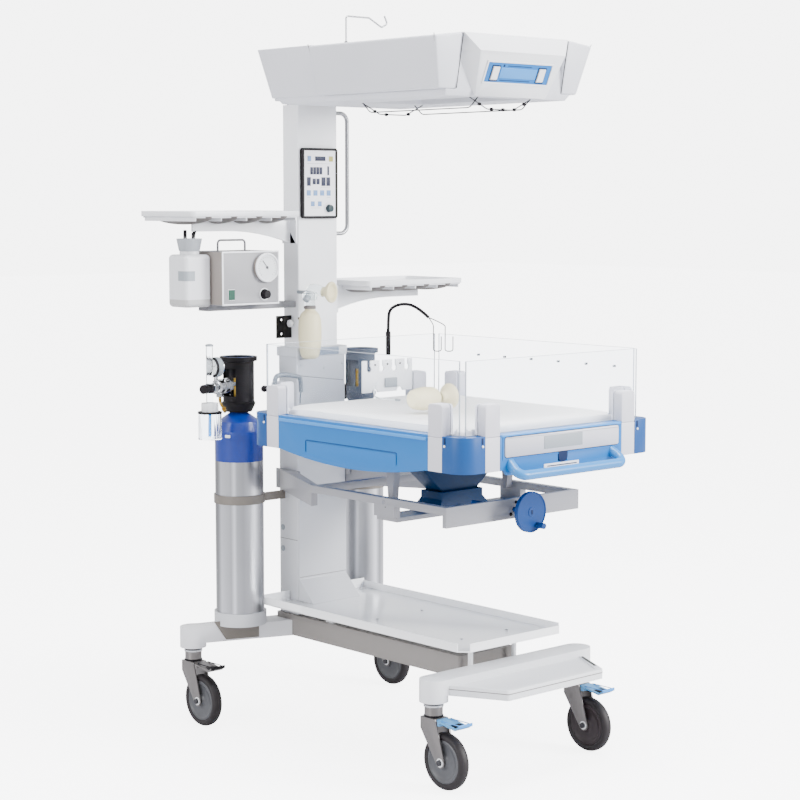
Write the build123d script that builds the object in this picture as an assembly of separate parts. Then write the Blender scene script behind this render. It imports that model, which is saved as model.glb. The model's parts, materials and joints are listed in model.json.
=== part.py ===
from build123d import *
import os
from math import acos, cos, degrees, pi, radians, sin

# Infant radiant warmer on four casters, in millimetres.
# The origin is on the floor under the middle of the warmer, +Z is up, and the bed's drawer
# and push handle face -Y. The column stands at +Y and carries the heater head.

# Clearances
run_gap = 0.3
soft_gap = 0.3
swing_gap = 1.0
cut_over = 5.0

# Casters: a wheel trailing behind a swivel stem, with a foot brake
wheel_diameter = 150.0
wheel_width = 32.0
tyre_depth = 17.0
tyre_round = 9.0
hub_dish = 7.0
hub_rim = 8.0
hub_boss_radius = 15.0
axle_radius = 5.0
axle_fit = 0.3
caster_trail = 48.0
fork_sheet = 4.0
fork_gap = 3.0
crown_gap = 30.0
crown_depth = 30.0
crown_front = 26.0
crown_back = 30.0
fork_eye_radius = 15.0
bearing_radius = 24.0
bearing_height = 34.0
stem_radius = 9.0
stem_depth = 36.0
shoulder_gap = 6.0
pedal_width = 50.0
pedal_length = 64.0
pedal_tongue = 10.0
pedal_gap = 0.7
pedal_sheet = 5.0
pedal_lip = 14.0
pedal_drop = 9.0
pedal_ear = 8.0
front_caster_x = 270.0
front_caster_y = -370.0
rear_caster_x = 364.0
rear_caster_y = 550.0

# Base: centre beam, swept rear legs and bosses
boss_radius = 38.0
boss_height = 60.0
leg_drop = 14.0
leg_height = 46.0
leg_root_x = 50.0
leg_root_y = 450.0
leg_root_radius = 45.0
leg_tip_radius = 32.0
beam_half = 100.0
beam_front_y = -290.0
beam_rear_y = 496.0
beam_bottom_z = 239.0
beam_height = 61.0
beam_round = 8.0
beam_wall = 4.0

# Front foot: cross bar with a step plate in front
foot_step_front_y = -551.0
foot_step_half = 178.0
foot_step_rear_half = 252.0
foot_step_height = 26.0
foot_step_round = 10.0
foot_tread_inset = 14.0
foot_tread_depth = 3.0
foot_tail_half = 150.0
foot_tail_height = 24.0
foot_bar_height = 42.0

# Lower tray
tray_half = 192.0
tray_front_y = -400.0
tray_rear_y = 489.0
tray_top_z = 343.0
tray_sheet = 3.0
tray_corner = 24.0
tray_rear_half = 150.0
tray_rear_side_y = 400.0
tray_lip = 20.0
tray_lip_rear_y = 263.0
tray_post_radius = 7.0
tray_post_x = 82.0
tray_post_y = -312.0
tray_block_y = 250.0
tray_block_half = 40.0
tray_block_depth = 30.0

# Lower housing and its front cover
housing_half = 92.0
housing_front_y = 402.0
housing_rear_y = 489.0
housing_top_z = 1058.0
housing_round = 6.0
collar_half = 96.0
collar_height = 27.0
collar_over = 5.0
cover_sheet = 4.0
cover_inset = 2.0
cover_top_z = 668.0
wedge_top_z = 405.0
wedge_reach = 64.0

# Column
column_half = 74.0
column_front_y = 416.0
column_rear_y = 486.0
column_top_z = 1783.0
column_wall = 3.0
column_round = 5.0
column_y = (column_front_y + column_rear_y) / 2

# Control panel and its knob
panel_half = 66.0
panel_low_z = 1457.0
panel_high_z = 1660.0
panel_depth = 12.0
panel_corner = 9.0
panel_face_inset = 7.0
panel_face_depth = 2.0
knob_radius = 13.0
knob_length = 16.0
knob_round = 2.0
knob_x = 33.0
knob_z = 1486.0

# Side rail on the column's right
rail_radius = 6.0
rail_x = 142.0
rail_low_z = 1412.0
rail_high_z = 1764.0
rail_bend = 26.0

# Head
swivel_radius = 66.0
swivel_height = 11.0
head_top_z = 1931.0
head_bottom_z = 1790.0
head_front_y = -392.0
cover_rear_y = 109.0
head_rear_y = 344.0
head_half = 291.0
head_half_low = 254.0
cover_inner_x = 193.0
cover_front_lean = 26.0
cover_side_drop = 12.0
cover_wall = 4.0
rear_half = 275.0
rear_half_low = 240.0
rear_lean = 20.0
rear_drop = 8.0
band_height = 16.0
band_inset = 10.0
neck_half = 90.0
neck_front_y = 322.0
neck_rear_y = 502.0
neck_top_z = 1908.0

# Console at the front of the head
console_half = 190.0
console_band_z = 1886.0
console_band_y = -417.0
console_band_half = 155.0
console_chin_z = 1775.0
console_chin_y = -369.0
console_chin_half = 129.0
console_back_y = -360.0
rocker_width = 22.0
rocker_height = 34.0
rocker_depth = 8.0
rocker_x = 84.0
rocker_share = 0.53
rocker_back = 2.0

# Heater: reflector trough, rod and wire guard
reflector_half = 92.0
reflector_front_y = -316.0
reflector_rear_y = 74.0
reflector_height = 62.0
reflector_sheet = 2.0
reflector_crown_half = 42.0
opening_margin = 8.0
heater_radius = 9.0
heater_z = 1818.0
heater_cap = 16.0
heater_cap_radius = 14.0
guard_wire = 1.6
guard_drop = 26.0
guard_half = 96.0
guard_end_y = 30.0
bead_radius = 5.0
bead_length = 9.0

# Drip hook on the head
hook_y = 287.0
hook_rod = 2.5
hook_sleeve_radius = 5.0
hook_sleeve_height = 34.0
hook_rise = 97.0
hook_arm_z = head_top_z + hook_rise
hook_arm = 86.0
hook_dip = 24.0
hook_tip = 9.0
hook_bowl = 22.0
hook_bend = 7.0

# Shelves
shelf_sheet = 3.0
shelf_rim = 15.0
shelf_corner = 14.0
left_shelf_z = 1480.0
left_shelf_x = (-487.0, -106.0)
left_shelf_y = (362.0, 615.0)
right_shelf_z = 1275.0
right_shelf_x = (106.0, 487.0)
right_shelf_y = (312.0, 565.0)
arm_sheet = 8.0
arm_root_height = 80.0
arm_tip_height = 42.0
arm_sweep_share = 0.65
arm_sweep_steps = 6
arm_tip_in = 62.0
arm_plate = 6.0

# Suction unit
case_x = (-388.0, -189.0)
case_y = (362.0, 512.0)
case_z = (1219.0, 1368.0)
case_round = 5.0
case_wall = 3.0
gauge_radius = 41.0
gauge_depth = 9.0
gauge_x = -238.0
gauge_z = 1322.0
suction_knob_radius = 11.0
suction_knob_length = 16.0
suction_knob_x = -241.0
suction_knob_z = 1247.0
switch_half_width = 10.0
switch_half_height = 14.0
switch_depth = 7.0
switch_in = 4.0
switch_room = 2.0
switch_x = -357.0
switch_z = 1248.0
handle_wire = 3.0
handle_rise = 30.0
handle_half = 48.0
bracket_depth = 46.0
bracket_height = 18.0
plate_width = 54.0
plate_sheet = 5.0
plate_low_z = 1112.0
plate_high_z = 1177.0
plate_hole = 4.0
jar_side = 88.0
jar_y = (410.0, 498.0)
jar_z = (1214.0, 1360.0)
jar_round = 12.0
jar_wall = 3.0
jar_neck_radius = 27.0
jar_neck_height = 10.0
jar_lid_radius = 36.0
jar_lid_foot_radius = 29.0
jar_lid_height = 34.0
jar_port_radius = 5.0
jar_port_height = 16.0
jar_port_x = 14.0

# Gas cylinders
gas_x = 232.0
gas_y = 497.0
gas_radius = 70.0
gas_wall = 5.0
gas_shoulder_z = 850.0
gas_shoulder_rise = 54.0
gas_neck_z = gas_shoulder_z + gas_shoulder_rise
gas_neck_radius = 22.0
cup_radius = 76.0
cup_height = 38.0
cup_floor = 4.0
valve_radius = 15.0
valve_height = 96.0
valve_top_z = gas_neck_z + valve_height
guard_radius = 45.0
guard_flange_radius = 54.0
guard_flange_height = 15.0
guard_bead = 3.0
guard_bead_z = 928.0
guard_foot_radius = 38.0
guard_wall = 7.0
guard_height = 159.0
guard_high_z = gas_neck_z + guard_height
guard_window_half = 30.0
guard_window_rise = 46.0
guard_window_height = 80.0
guard_window_low_z = gas_neck_z + guard_window_rise
guard_window_high_z = guard_window_low_z + guard_window_height
strap_low_z = 640.0
strap_height = 25.0
strap_sheet = 4.0

# Regulator and flowmeter, on a line that runs outwards from the left valve
regulator_angle = 204.3
regulator_rise = 81.0
regulator_z = gas_neck_z + regulator_rise
inlet_radius = 8.0
regulator_start = 74.0
regulator_end = 128.0
regulator_radius = 19.0
dial_at = 133.0
dial_radius = 27.0
dial_depth = 20.0
dial_rise = 57.0
dial_z = regulator_z + dial_rise
dial_stem_radius = 6.0
meter_at = 170.0
meter_radius = 9.5
meter_drop = 41.0
meter_rise = 121.0
meter_low_z = regulator_z - meter_drop
meter_high_z = regulator_z + meter_rise
tap_radius = 13.0
tap_length = 18.0
tap_stem = 4.0
tap_gap = 8.0
bottle_radius = 33.0
bottle_lid_height = 26.0
bottle_height = 76.0
bottle_top_z = meter_low_z - bottle_lid_height
bottle_z = (bottle_top_z - bottle_height, bottle_top_z)
bottle_lid_radius = 24.0

# Bed frame
tilt_y = -152.0
tilt_z = 715.0
frame_half = 248.0
frame_front_y = -392.0
frame_rear_y = 150.0
frame_top_z = 727.0
frame_front_height = 53.0
frame_front_sheet = 14.0
frame_rail_height = 20.0
frame_rail_width = 22.0
arm_root_x = 97.0
arm_root_y = 470.0
splay_sheet = 12.0
splay_height = 58.0
crossbar_depth = 40.0
crossbar_low_z = 676.0
pivot_radius = 6.0
crossbar_y = 150.0
mount_block_y = 372.0

# Pedestal between the frame and the bed
pedestal_top_half = 190.0
pedestal_waist_half = 57.0
pedestal_foot_half = 100.0
pedestal_top_depth = 74.0
pedestal_waist_depth = 64.0
pedestal_foot_depth = 110.0
pedestal_top_z = 812.0
pedestal_waist_z = 722.0
pedestal_neck_z = 708.0
collar_room = 16.0
collar_room_depth = 6.0
collar_wall = 4.0
collar_top_z = 728.0
strut_width = 22.0
strut_foot_depth = 16.0
strut_head_depth = 40.0
strut_top_z = 838.0

# Bed shell
bed_half = 354.0
bed_front_y = -564.0
bed_rear_y = 288.0
bed_rim_z = 929.0
bed_bottom_z = 838.0
bed_corner = 48.0
bed_wall = 6.0
bed_belly = 26.0
belly_front_y = -426.0
belly_rear_y = 150.0
belly_wall = 12.0
rim_width = 34.0
deck_z = 907.0
deck_sheet = 4.0
groove_y = (-320.0, 44.0)
groove_z = (839.0, 872.0)
groove_width = 3.0
groove_depth = 1.5

# Corner posts and wall panels
post_width = 52.0
post_depth = 18.0
post_inset = 102.0
post_seam_z = 925.0
post_top_z = 1008.0
post_round = 3.0
panel_inset = 31.0
panel_sheet = 5.0
panel_top_z = 1116.0
panel_foot_z = 930.0
clamp_inner = 6.0
saddle_height = 4.0
side_panel_y = (-519.0, 245.0)
end_panel_half = 317.0

# Drawer
drawer_front_half = 211.0
drawer_front_z = (871.0, 921.0)
drawer_front_sheet = 14.0
drawer_front_proud = 3.0
drawer_half = 190.0
drawer_box_z = (873.0, 899.0)
drawer_length = 380.0
drawer_wall = 3.0
notch_half = 17.0
notch_depth = 26.0
runner_height = 5.0

# Mattress
mattress_half = 306.0
mattress_y = (-512.0, 240.0)
mattress_corner = 44.0
mattress_edge_z = 943.0
mattress_crown = 13.0
mattress_draw = 7.0

# Push handle
handle_radius = 12.5
handle_bar_half = 198.0
handle_bar_y = -602.0
handle_bar_z = 827.0
handle_root_z = 862.0
handle_root_half = 187.0
handle_bend = 22.0

# Crank
crank_z = 698.0
crank_disc_radius = 54.0
crank_disc_y = -455.0
crank_disc_depth = 10.0
crank_cone_depth = 14.0
crank_cone_radius = 20.0
crank_shaft_radius = 7.0
crank_shaft_end_y = -235.0
crank_knob_radius = 8.0
crank_knob_length = 26.0
crank_knob_at = 42.0
crank_knob_angle = -60.0
screw_radius = 6.0

# Resuscitator on the column
bag_x = -68.0
bag_y = 355.0
bag_z = (1052.0, 1200.0)
bag_radius = 41.0
bag_neck_radius = 14.0
elbow_radius = 13.0
elbow_z = 1246.0
mask_x = -28.0
mask_length = 40.0
mask_radius = 32.0
mask_nose_radius = 15.0
mask_wall = 3.0
peg_radius = 5.0

# Accessories in the bed
lying_bag_x = (-196.0, -96.0)
lying_bag_y = -205.0
holder_x = (27.0, 222.0)
holder_z = (956.0, 1050.0)
holder_sheet = 4.0
holder_notch = 13.0
holder_notch_count = 4

# Gooseneck on the head panel
neck_x = 132.0
neck_tube = 4.5
neck_clamp_half = 9.0
neck_clamp_grip = 20.0
neck_clamp_z = (panel_top_z - neck_clamp_grip, panel_top_z + neck_clamp_grip)
neck_rise = 100.0
neck_tip_rise = 56.0
neck_reach = 92.0
neck_side = 75.0
neck_bend = 44.0
wire_radius = 1.6
wire_fall = 22.0
wire_drop = 98.0
wire_rise = 43.0
wire_spread = 16.0
wire_steps = (10.0, 34.0)
wire_curl = 7.0


# Shared shapes
def block(x, y, z):
    """A box between low and high values on each axis."""
    centre = Pos(sum(x) / 2, sum(y) / 2, sum(z) / 2)
    return centre * Box(abs(x[1] - x[0]), abs(y[1] - y[0]), abs(z[1] - z[0]))


def both(half):
    """The low and high value of a width centred on zero."""
    return (-half, half)


def upright(radius, x, y, z):
    """A vertical round bar between two heights."""
    return Pos(x, y, sum(z) / 2) * Cylinder(radius, z[1] - z[0])


def rod(radius, start, end):
    """A round bar between two points."""
    along = Vector(*end) - Vector(*start)
    return extrude(Plane(origin=start, z_dir=along) * Circle(radius), along.length)


def bent_rod(radius, points, bend):
    """A round bar along straight runs joined by arcs."""
    path = FilletPolyline(*points, radius=bend)
    along = Vector(*points[1]) - Vector(*points[0])
    return sweep(Plane(origin=points[0], z_dir=along) * Circle(radius), path)


def slab(points, z, corner=None):
    """A flat outline seen from above, between two heights."""
    face = make_face(Polyline(*points, close=True))
    if corner:
        face = fillet(face.vertices(), corner)
    return extrude(Pos(0, 0, z[0]) * face, z[1] - z[0])


def side_slab(points, x):
    """A flat outline of Y and Z values, between two X values."""
    face = Plane.YZ.offset(x[0]) * make_face(Polyline(*points, close=True))
    return extrude(face, x[1] - x[0])


def front_slab(points, y):
    """A flat outline of X and Z values, between two Y values."""
    corners = [(x, y[0], z) for x, z in points]
    face = make_face(Polyline(*corners, close=True))
    return extrude(face, y[1] - y[0], dir=(0, 1, 0))


def tapered(low, high, z):
    """A solid between two outlines seen from above, each with as many points."""
    bottom = Pos(0, 0, z[0]) * make_face(Polyline(*low, close=True))
    top = Pos(0, 0, z[1]) * make_face(Polyline(*high, close=True))
    return loft([bottom, top], ruled=True)


def rectangle(x, y):
    """The four corners of a rectangle seen from above."""
    return [(x[0], y[0]), (x[1], y[0]), (x[1], y[1]), (x[0], y[1])]


def rounded_up(part, radius):
    """The part with its upright edges rounded."""
    return fillet(part.edges().filter_by(Axis.Z), radius)


def mirrored(part):
    """The part's copy on the other side of the warmer."""
    return mirror(part, about=Plane.YZ)


def turned(profile, x, y):
    """A round solid about an upright axis, from radius and height pairs."""
    face = make_face(Polyline(*[(r, 0, z) for r, z in profile], close=True))
    return Pos(x, y, 0) * revolve(face, Axis.Z)


# Casters
wheel_radius = wheel_diameter / 2
fork_inner = wheel_width / 2 + fork_gap
fork_outer = fork_inner + fork_sheet
crown_low_z = wheel_diameter + crown_gap
crown_z = (crown_low_z, crown_low_z + fork_sheet)
bearing_z = (crown_z[1], crown_z[1] + bearing_height)
boss_low_z = bearing_z[1] + shoulder_gap
stem_z = (bearing_z[1], boss_low_z + stem_depth)


def caster_wheel(x, y):
    """A soft tyre on a dished hub, with the axle along X."""
    turn = Pos(x, y - caster_trail, wheel_radius) * Rot(0, 90, 0)
    core_radius = wheel_radius - tyre_depth
    tyre = Cylinder(wheel_radius, wheel_width)
    tyre = fillet(tyre.edges(), tyre_round) - Cylinder(core_radius, wheel_width)
    hub = Cylinder(core_radius, wheel_width) - Cylinder(axle_radius + axle_fit, wheel_width)
    for side in both(1):
        face_z = side * (wheel_width - hub_dish) / 2
        dish = Cylinder(core_radius - hub_rim, hub_dish) - Cylinder(hub_boss_radius, hub_dish)
        hub -= Pos(0, 0, face_z) * dish
    return [turn * tyre, turn * hub]


def caster_fork(x, y):
    """Two side plates under a crown, with the axle, bearing housing and stem."""
    axle_y = y - caster_trail
    crown_y = (y - crown_back, y + crown_front)
    eye = Pos(axle_y, wheel_radius) * Circle(fork_eye_radius)
    head_z = (crown_z[1] - crown_depth, crown_z[1])
    top = Pos(sum(crown_y) / 2, sum(head_z) / 2) * Rectangle(crown_y[1] - crown_y[0], crown_depth)
    plate = Plane.YZ * make_hull(eye.edges() + top.edges())
    fork = block((x - fork_outer, x + fork_outer), crown_y, crown_z)
    fork += Pos(x - fork_outer, 0, 0) * extrude(plate, fork_sheet)
    fork += Pos(x + fork_inner, 0, 0) * extrude(plate, fork_sheet)
    fork += rod(axle_radius, (x - fork_outer, axle_y, wheel_radius), (x + fork_outer, axle_y, wheel_radius))
    fork += upright(bearing_radius, x, y, bearing_z)
    return fork + upright(stem_radius, x, y, stem_z)


def caster_pedal(x, y):
    """A pressed brake pedal over the wheel, hinged at the crown's back edge."""
    hinge_y = y - crown_back - pedal_gap
    root_y = hinge_y - pedal_tongue
    tip_y = root_y - pedal_length
    top_z = crown_z[1] - run_gap
    outline = [(root_y, top_z), (root_y, top_z - pedal_sheet - pedal_ear),
               (root_y - pedal_ear, top_z - pedal_sheet - pedal_ear),
               (root_y - pedal_ear, top_z - pedal_sheet),
               (tip_y, top_z - pedal_sheet - pedal_drop),
               (tip_y - pedal_lip, top_z - pedal_sheet),
               (tip_y - pedal_lip, top_z),
               (tip_y, top_z - pedal_drop)]
    pedal = side_slab(outline, (x - pedal_width / 2, x + pedal_width / 2))
    tongue_half = fork_inner - swing_gap
    return pedal + block((x - tongue_half, x + tongue_half), (root_y, hinge_y), (top_z - pedal_sheet, top_z))


# Base
boss_z = (boss_low_z, boss_low_z + boss_height)
leg_z = (boss_low_z + leg_drop, boss_low_z + leg_drop + leg_height)
beam_z = (beam_bottom_z, beam_bottom_z + beam_height)
foot_bar_z = (boss_z[1] - foot_bar_height, boss_z[1])
foot_tail_z = (beam_bottom_z, beam_bottom_z + foot_tail_height)


def boss(x, y):
    """A round boss on a caster's stem."""
    return upright(boss_radius, x, y, boss_z)


def stem_bore(x, y):
    """The blind hole for a caster's stem."""
    return upright(stem_radius + run_gap, x, y, (boss_low_z, stem_z[1] + run_gap))


def base_frame():
    """The centre beam with two swept rear legs and their caster bosses."""
    beam = block(both(beam_half), (beam_front_y, beam_rear_y), beam_z)
    frame = rounded_up(beam, beam_round)
    hollow_y = (beam_front_y + beam_wall, leg_root_y - leg_root_radius - beam_wall)
    frame -= block(both(beam_half - beam_wall), hollow_y, (beam_z[0] + beam_wall, beam_z[1] - beam_wall))
    root = Pos(leg_root_x, leg_root_y) * Circle(leg_root_radius)
    tip = Pos(rear_caster_x, rear_caster_y) * Circle(leg_tip_radius)
    leg = extrude(Pos(0, 0, leg_z[0]) * make_hull(root.edges() + tip.edges()), leg_height)
    side = leg + boss(rear_caster_x, rear_caster_y)
    frame += side + mirrored(side)
    for x in both(rear_caster_x):
        frame -= stem_bore(x, rear_caster_y)
    return frame


def front_foot():
    """The cross bar on the front casters, with a step plate and a recessed tread."""
    left = Pos(-front_caster_x, front_caster_y) * Circle(boss_radius)
    right = Pos(front_caster_x, front_caster_y) * Circle(boss_radius)
    bar = make_hull(left.edges() + right.edges())
    foot = extrude(Pos(0, 0, foot_bar_z[0]) * bar, foot_bar_height)
    for x in both(front_caster_x):
        foot += boss(x, front_caster_y)
    bar_front_y = front_caster_y - boss_radius
    step_z = (foot_bar_z[0], foot_bar_z[0] + foot_step_height)
    step_points = [(-foot_step_half, foot_step_front_y), (foot_step_half, foot_step_front_y),
                   (foot_step_rear_half, bar_front_y), (foot_step_rear_half, front_caster_y),
                   (-foot_step_rear_half, front_caster_y), (-foot_step_rear_half, bar_front_y)]
    foot += slab(step_points, step_z, foot_step_round)
    tread_half = foot_step_half - foot_tread_inset
    tread_rear_half = foot_step_rear_half - foot_tread_inset
    tread_y = (foot_step_front_y + foot_tread_inset, bar_front_y - foot_tread_depth)
    tread_points = [(-tread_half, tread_y[0]), (tread_half, tread_y[0]),
                    (tread_rear_half, tread_y[1]), (-tread_rear_half, tread_y[1])]
    foot -= slab(tread_points, (step_z[1] - foot_tread_depth, step_z[1]))
    foot += block(both(foot_tail_half), (beam_front_y, front_caster_y), foot_tail_z)
    for x in both(front_caster_x):
        foot -= stem_bore(x, front_caster_y)
    return foot


def lower_tray():
    """A sheet tray with upturned lips, on two posts and two rear blocks."""
    plate_z = (tray_top_z - tray_sheet, tray_top_z)
    flat = tray_half - tray_corner
    points = [(-flat, tray_front_y), (flat, tray_front_y), (tray_half, tray_front_y + tray_corner),
              (tray_half, tray_rear_side_y), (tray_rear_half, tray_rear_y),
              (-tray_rear_half, tray_rear_y), (-tray_half, tray_rear_side_y),
              (-tray_half, tray_front_y + tray_corner)]
    tray = slab(points, plate_z)
    slot_half = housing_half + swing_gap
    slot_y = (housing_front_y - cover_sheet - swing_gap, tray_rear_y)
    tray -= block(both(slot_half), slot_y, plate_z)
    lip_z = (tray_top_z, tray_top_z + tray_lip)
    tray += block(both(flat), (tray_front_y, tray_front_y + tray_sheet), lip_z)
    lip_y = (tray_front_y + tray_corner, tray_lip_rear_y)
    for x in both(tray_half):
        inner = x - tray_sheet if x > 0 else x + tray_sheet
        tray += block(sorted((x, inner)), lip_y, lip_z)
    for x in both(tray_post_x):
        tray += upright(tray_post_radius, x, tray_post_y, (foot_tail_z[1], plate_z[0]))
        block_y = (tray_block_y, tray_block_y + tray_block_depth)
        tray += block((x - tray_post_radius, x + tray_post_radius), block_y, (beam_z[1], plate_z[0]))
    return tray


# Housing and column
def lower_housing():
    """The hollow housing on the beam, with a collar round the column's foot."""
    outer = rounded_up(block(both(housing_half), (housing_front_y, housing_rear_y),
                             (beam_z[1], housing_top_z)), housing_round)
    inner = block(both(housing_half - column_wall),
                  (housing_front_y + column_wall, housing_rear_y - column_wall),
                  (beam_z[1] + column_wall, housing_top_z))
    collar_y = (housing_front_y - collar_over, housing_rear_y + collar_over)
    collar = rounded_up(block(both(collar_half), collar_y,
                              (housing_top_z, housing_top_z + collar_height)), housing_round)
    return (outer - inner) + collar


def housing_cover():
    """The front cover plate, whose foot slopes out onto the lower tray."""
    half = housing_half - cover_inset
    front_y = housing_front_y - cover_sheet
    outline = [(housing_front_y, tray_top_z), (housing_front_y, cover_top_z), (front_y, cover_top_z),
               (front_y, wedge_top_z), (front_y - wedge_reach, tray_top_z)]
    return side_slab(outline, both(half))


def column():
    """The upright rectangular tube."""
    z = (housing_top_z + collar_height, column_top_z)
    outer = rounded_up(block(both(column_half), (column_front_y, column_rear_y), z), column_round)
    inner_y = (column_front_y + column_wall, column_rear_y - column_wall)
    return outer - block(both(column_half - column_wall), inner_y, (z[0], z[1] - column_wall))


def control_panel():
    """The flat bezel on the column's front, with a recess for its face and knob."""
    y = (column_front_y - panel_depth, column_front_y)
    z = (panel_low_z, panel_high_z)
    bezel = block(both(panel_half), y, z)
    bezel = fillet(bezel.edges().filter_by(Axis.Y), panel_corner)
    face_half = panel_half - panel_face_inset
    face_z = (panel_low_z + panel_face_inset, panel_high_z - panel_face_inset)
    return bezel - block(both(face_half), (y[0], y[0] + panel_face_depth), face_z)


def control_knob():
    """The turning knob at the panel's lower right."""
    back_y = column_front_y - panel_depth + panel_face_depth - run_gap
    knob = rod(knob_radius, (knob_x, back_y, knob_z), (knob_x, back_y - knob_length, knob_z))
    return fillet(knob.edges().group_by(Axis.Y)[0], knob_round)


def side_rail():
    """A round rail beside the column, bent into it at both ends."""
    return bent_rod(rail_radius, [(column_half, column_y, rail_low_z), (rail_x, column_y, rail_low_z),
                                  (rail_x, column_y, rail_high_z), (column_half, column_y, rail_high_z)],
                    rail_bend)


# Head
swivel_z = (column_top_z, column_top_z + swivel_height)
band_z = (head_bottom_z - band_height, head_bottom_z)
core_half = cover_inner_x - run_gap


def swivel_plate():
    """The round bearing plate between the column and the head."""
    return upright(swivel_radius, 0, column_y, swivel_z)


def head_shell():
    """The head's chassis: centre box, rear hood, lower band and the neck over the column."""
    centre_y = (head_front_y + cover_front_lean, cover_rear_y)
    shell = block(both(core_half), centre_y, (head_bottom_z, head_top_z))
    top_z = head_top_z - rear_drop
    low = rectangle(both(rear_half_low), (cover_rear_y, head_rear_y - rear_lean))
    high = rectangle(both(rear_half), (cover_rear_y, head_rear_y))
    shell += tapered(low, high, (head_bottom_z, top_z))
    band_low = rectangle(both(rear_half_low - band_inset * 2),
                         (head_front_y + cover_front_lean + band_inset, head_rear_y - rear_lean - band_inset * 2))
    band_high = rectangle(both(rear_half_low - band_inset),
                          (head_front_y + cover_front_lean, head_rear_y - rear_lean - band_inset))
    shell += tapered(band_low, band_high, band_z)
    neck_low_z = swivel_z[1] + run_gap
    shell += block(both(neck_half), (neck_front_y, neck_rear_y), (neck_low_z, neck_top_z))
    cavity_y = (reflector_front_y - opening_margin, reflector_rear_y + opening_margin)
    cavity_top_z = head_bottom_z + reflector_height + opening_margin
    shell -= block(both(reflector_half + opening_margin), cavity_y, (band_z[0], cavity_top_z))
    wall = cover_wall
    room = block(both(core_half - wall), (centre_y[0] + wall, cover_rear_y - wall),
                 (head_bottom_z + wall, head_top_z - wall))
    room -= block(both(reflector_half + opening_margin + wall), (cavity_y[0] - wall, cavity_y[1] + wall),
                  (head_bottom_z, cavity_top_z + wall))
    hood_half = rear_half_low - wall
    room += block(both(hood_half), (cover_rear_y + wall, neck_front_y - wall), (head_bottom_z + wall, top_z - wall))
    room += block(both(neck_half - wall), (neck_front_y + rear_lean + wall, neck_rear_y - wall),
                  (neck_low_z + wall, neck_top_z - wall))
    return shell - room


def side_cover():
    """The right cover: a hollow moulding that narrows to its foot."""
    lean = cover_front_lean
    low = [(cover_inner_x, head_front_y + lean), (head_half_low, head_front_y + lean),
           (head_half_low, cover_rear_y), (cover_inner_x, cover_rear_y)]
    high = [(cover_inner_x, head_front_y), (head_half, head_front_y),
            (head_half, cover_rear_y), (cover_inner_x, cover_rear_y)]
    cover = tapered(low, high, (head_bottom_z, head_top_z))
    roof = [(cover_inner_x, head_top_z), (head_half + cut_over, head_top_z + cut_over),
            (head_half + cut_over, head_top_z - cover_side_drop * (head_half + cut_over - cover_inner_x)
             / (head_half - cover_inner_x))]
    cover -= front_slab(roof, (head_front_y - cut_over, cover_rear_y + cut_over))
    wall = cover_wall
    inner_low = [(cover_inner_x + wall, head_front_y + lean + wall), (head_half_low - wall, head_front_y + lean + wall),
                 (head_half_low - wall, cover_rear_y - wall), (cover_inner_x + wall, cover_rear_y - wall)]
    inner_high = [(cover_inner_x + wall, head_front_y + lean + wall), (head_half - lean, head_front_y + lean + wall),
                  (head_half - lean, cover_rear_y - wall), (cover_inner_x + wall, cover_rear_y - wall)]
    inner_z = (head_bottom_z + wall, head_top_z - cover_side_drop - wall)
    return cover - tapered(inner_low, inner_high, inner_z)


def head_console():
    """The front moulding: a brow band over a face that leans back to the chin."""
    back_y = head_front_y + cover_front_lean - run_gap
    brow_low = [(-console_band_half, console_band_y), (console_band_half, console_band_y),
                (console_half, back_y), (-console_half, back_y)]
    brow_high = [(-console_half, head_front_y), (console_half, head_front_y),
                 (console_half, back_y), (-console_half, back_y)]
    brow = tapered(brow_low, brow_high, (console_band_z, head_top_z))
    face_low = [(-console_chin_half, console_chin_y), (console_chin_half, console_chin_y),
                (console_chin_half, back_y), (-console_chin_half, back_y)]
    face = tapered(face_low, brow_low, (console_chin_z, console_band_z))
    return brow + face - rocker_wells()


face_rise = console_band_z - console_chin_z
face_run = console_chin_y - console_band_y
face_angle = degrees(acos(face_rise / (face_rise ** 2 + face_run ** 2) ** 0.5))


def on_face(x, share):
    """A place on the console's leaning face, a share of the way up it."""
    y = console_chin_y - face_run * share
    z = console_chin_z + face_rise * share
    return Pos(x, y, z) * Rot(face_angle, 0, 0)


def rocker(x):
    """A rocker switch, half sunk in the console's face."""
    return on_face(x, rocker_share) * Box(rocker_width, rocker_depth, rocker_height)


def rocker_wells():
    """The wells that the two rocker switches sit in."""
    well = Box(rocker_width + run_gap * 2, rocker_depth + rocker_back * 2, rocker_height + swing_gap * 2)
    return on_face(-rocker_x, rocker_share) * well + on_face(rocker_x, rocker_share) * well


def reflector():
    """The polished trough over the heating rod."""
    top_z = head_bottom_z + reflector_height
    points = [(-reflector_half, head_bottom_z), (-reflector_crown_half, top_z),
              (reflector_crown_half, top_z), (reflector_half, head_bottom_z)]
    y = (reflector_front_y, reflector_rear_y)
    outer = front_slab(points, y)
    sheet = reflector_sheet
    inner_points = [(-reflector_half + sheet * 2, head_bottom_z - sheet),
                    (-reflector_crown_half + sheet / 2, top_z - sheet),
                    (reflector_crown_half - sheet / 2, top_z - sheet),
                    (reflector_half - sheet * 2, head_bottom_z - sheet)]
    trough = outer - front_slab(inner_points, (y[0] + sheet, y[1] - sheet))
    flange = block(both(reflector_half + opening_margin), (y[0] - opening_margin, y[1] + opening_margin),
                   (head_bottom_z, head_bottom_z + sheet))
    flange -= block(both(reflector_half - sheet * 2), (y[0] + sheet, y[1] - sheet),
                    (head_bottom_z, head_bottom_z + sheet))
    return trough + flange


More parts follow.
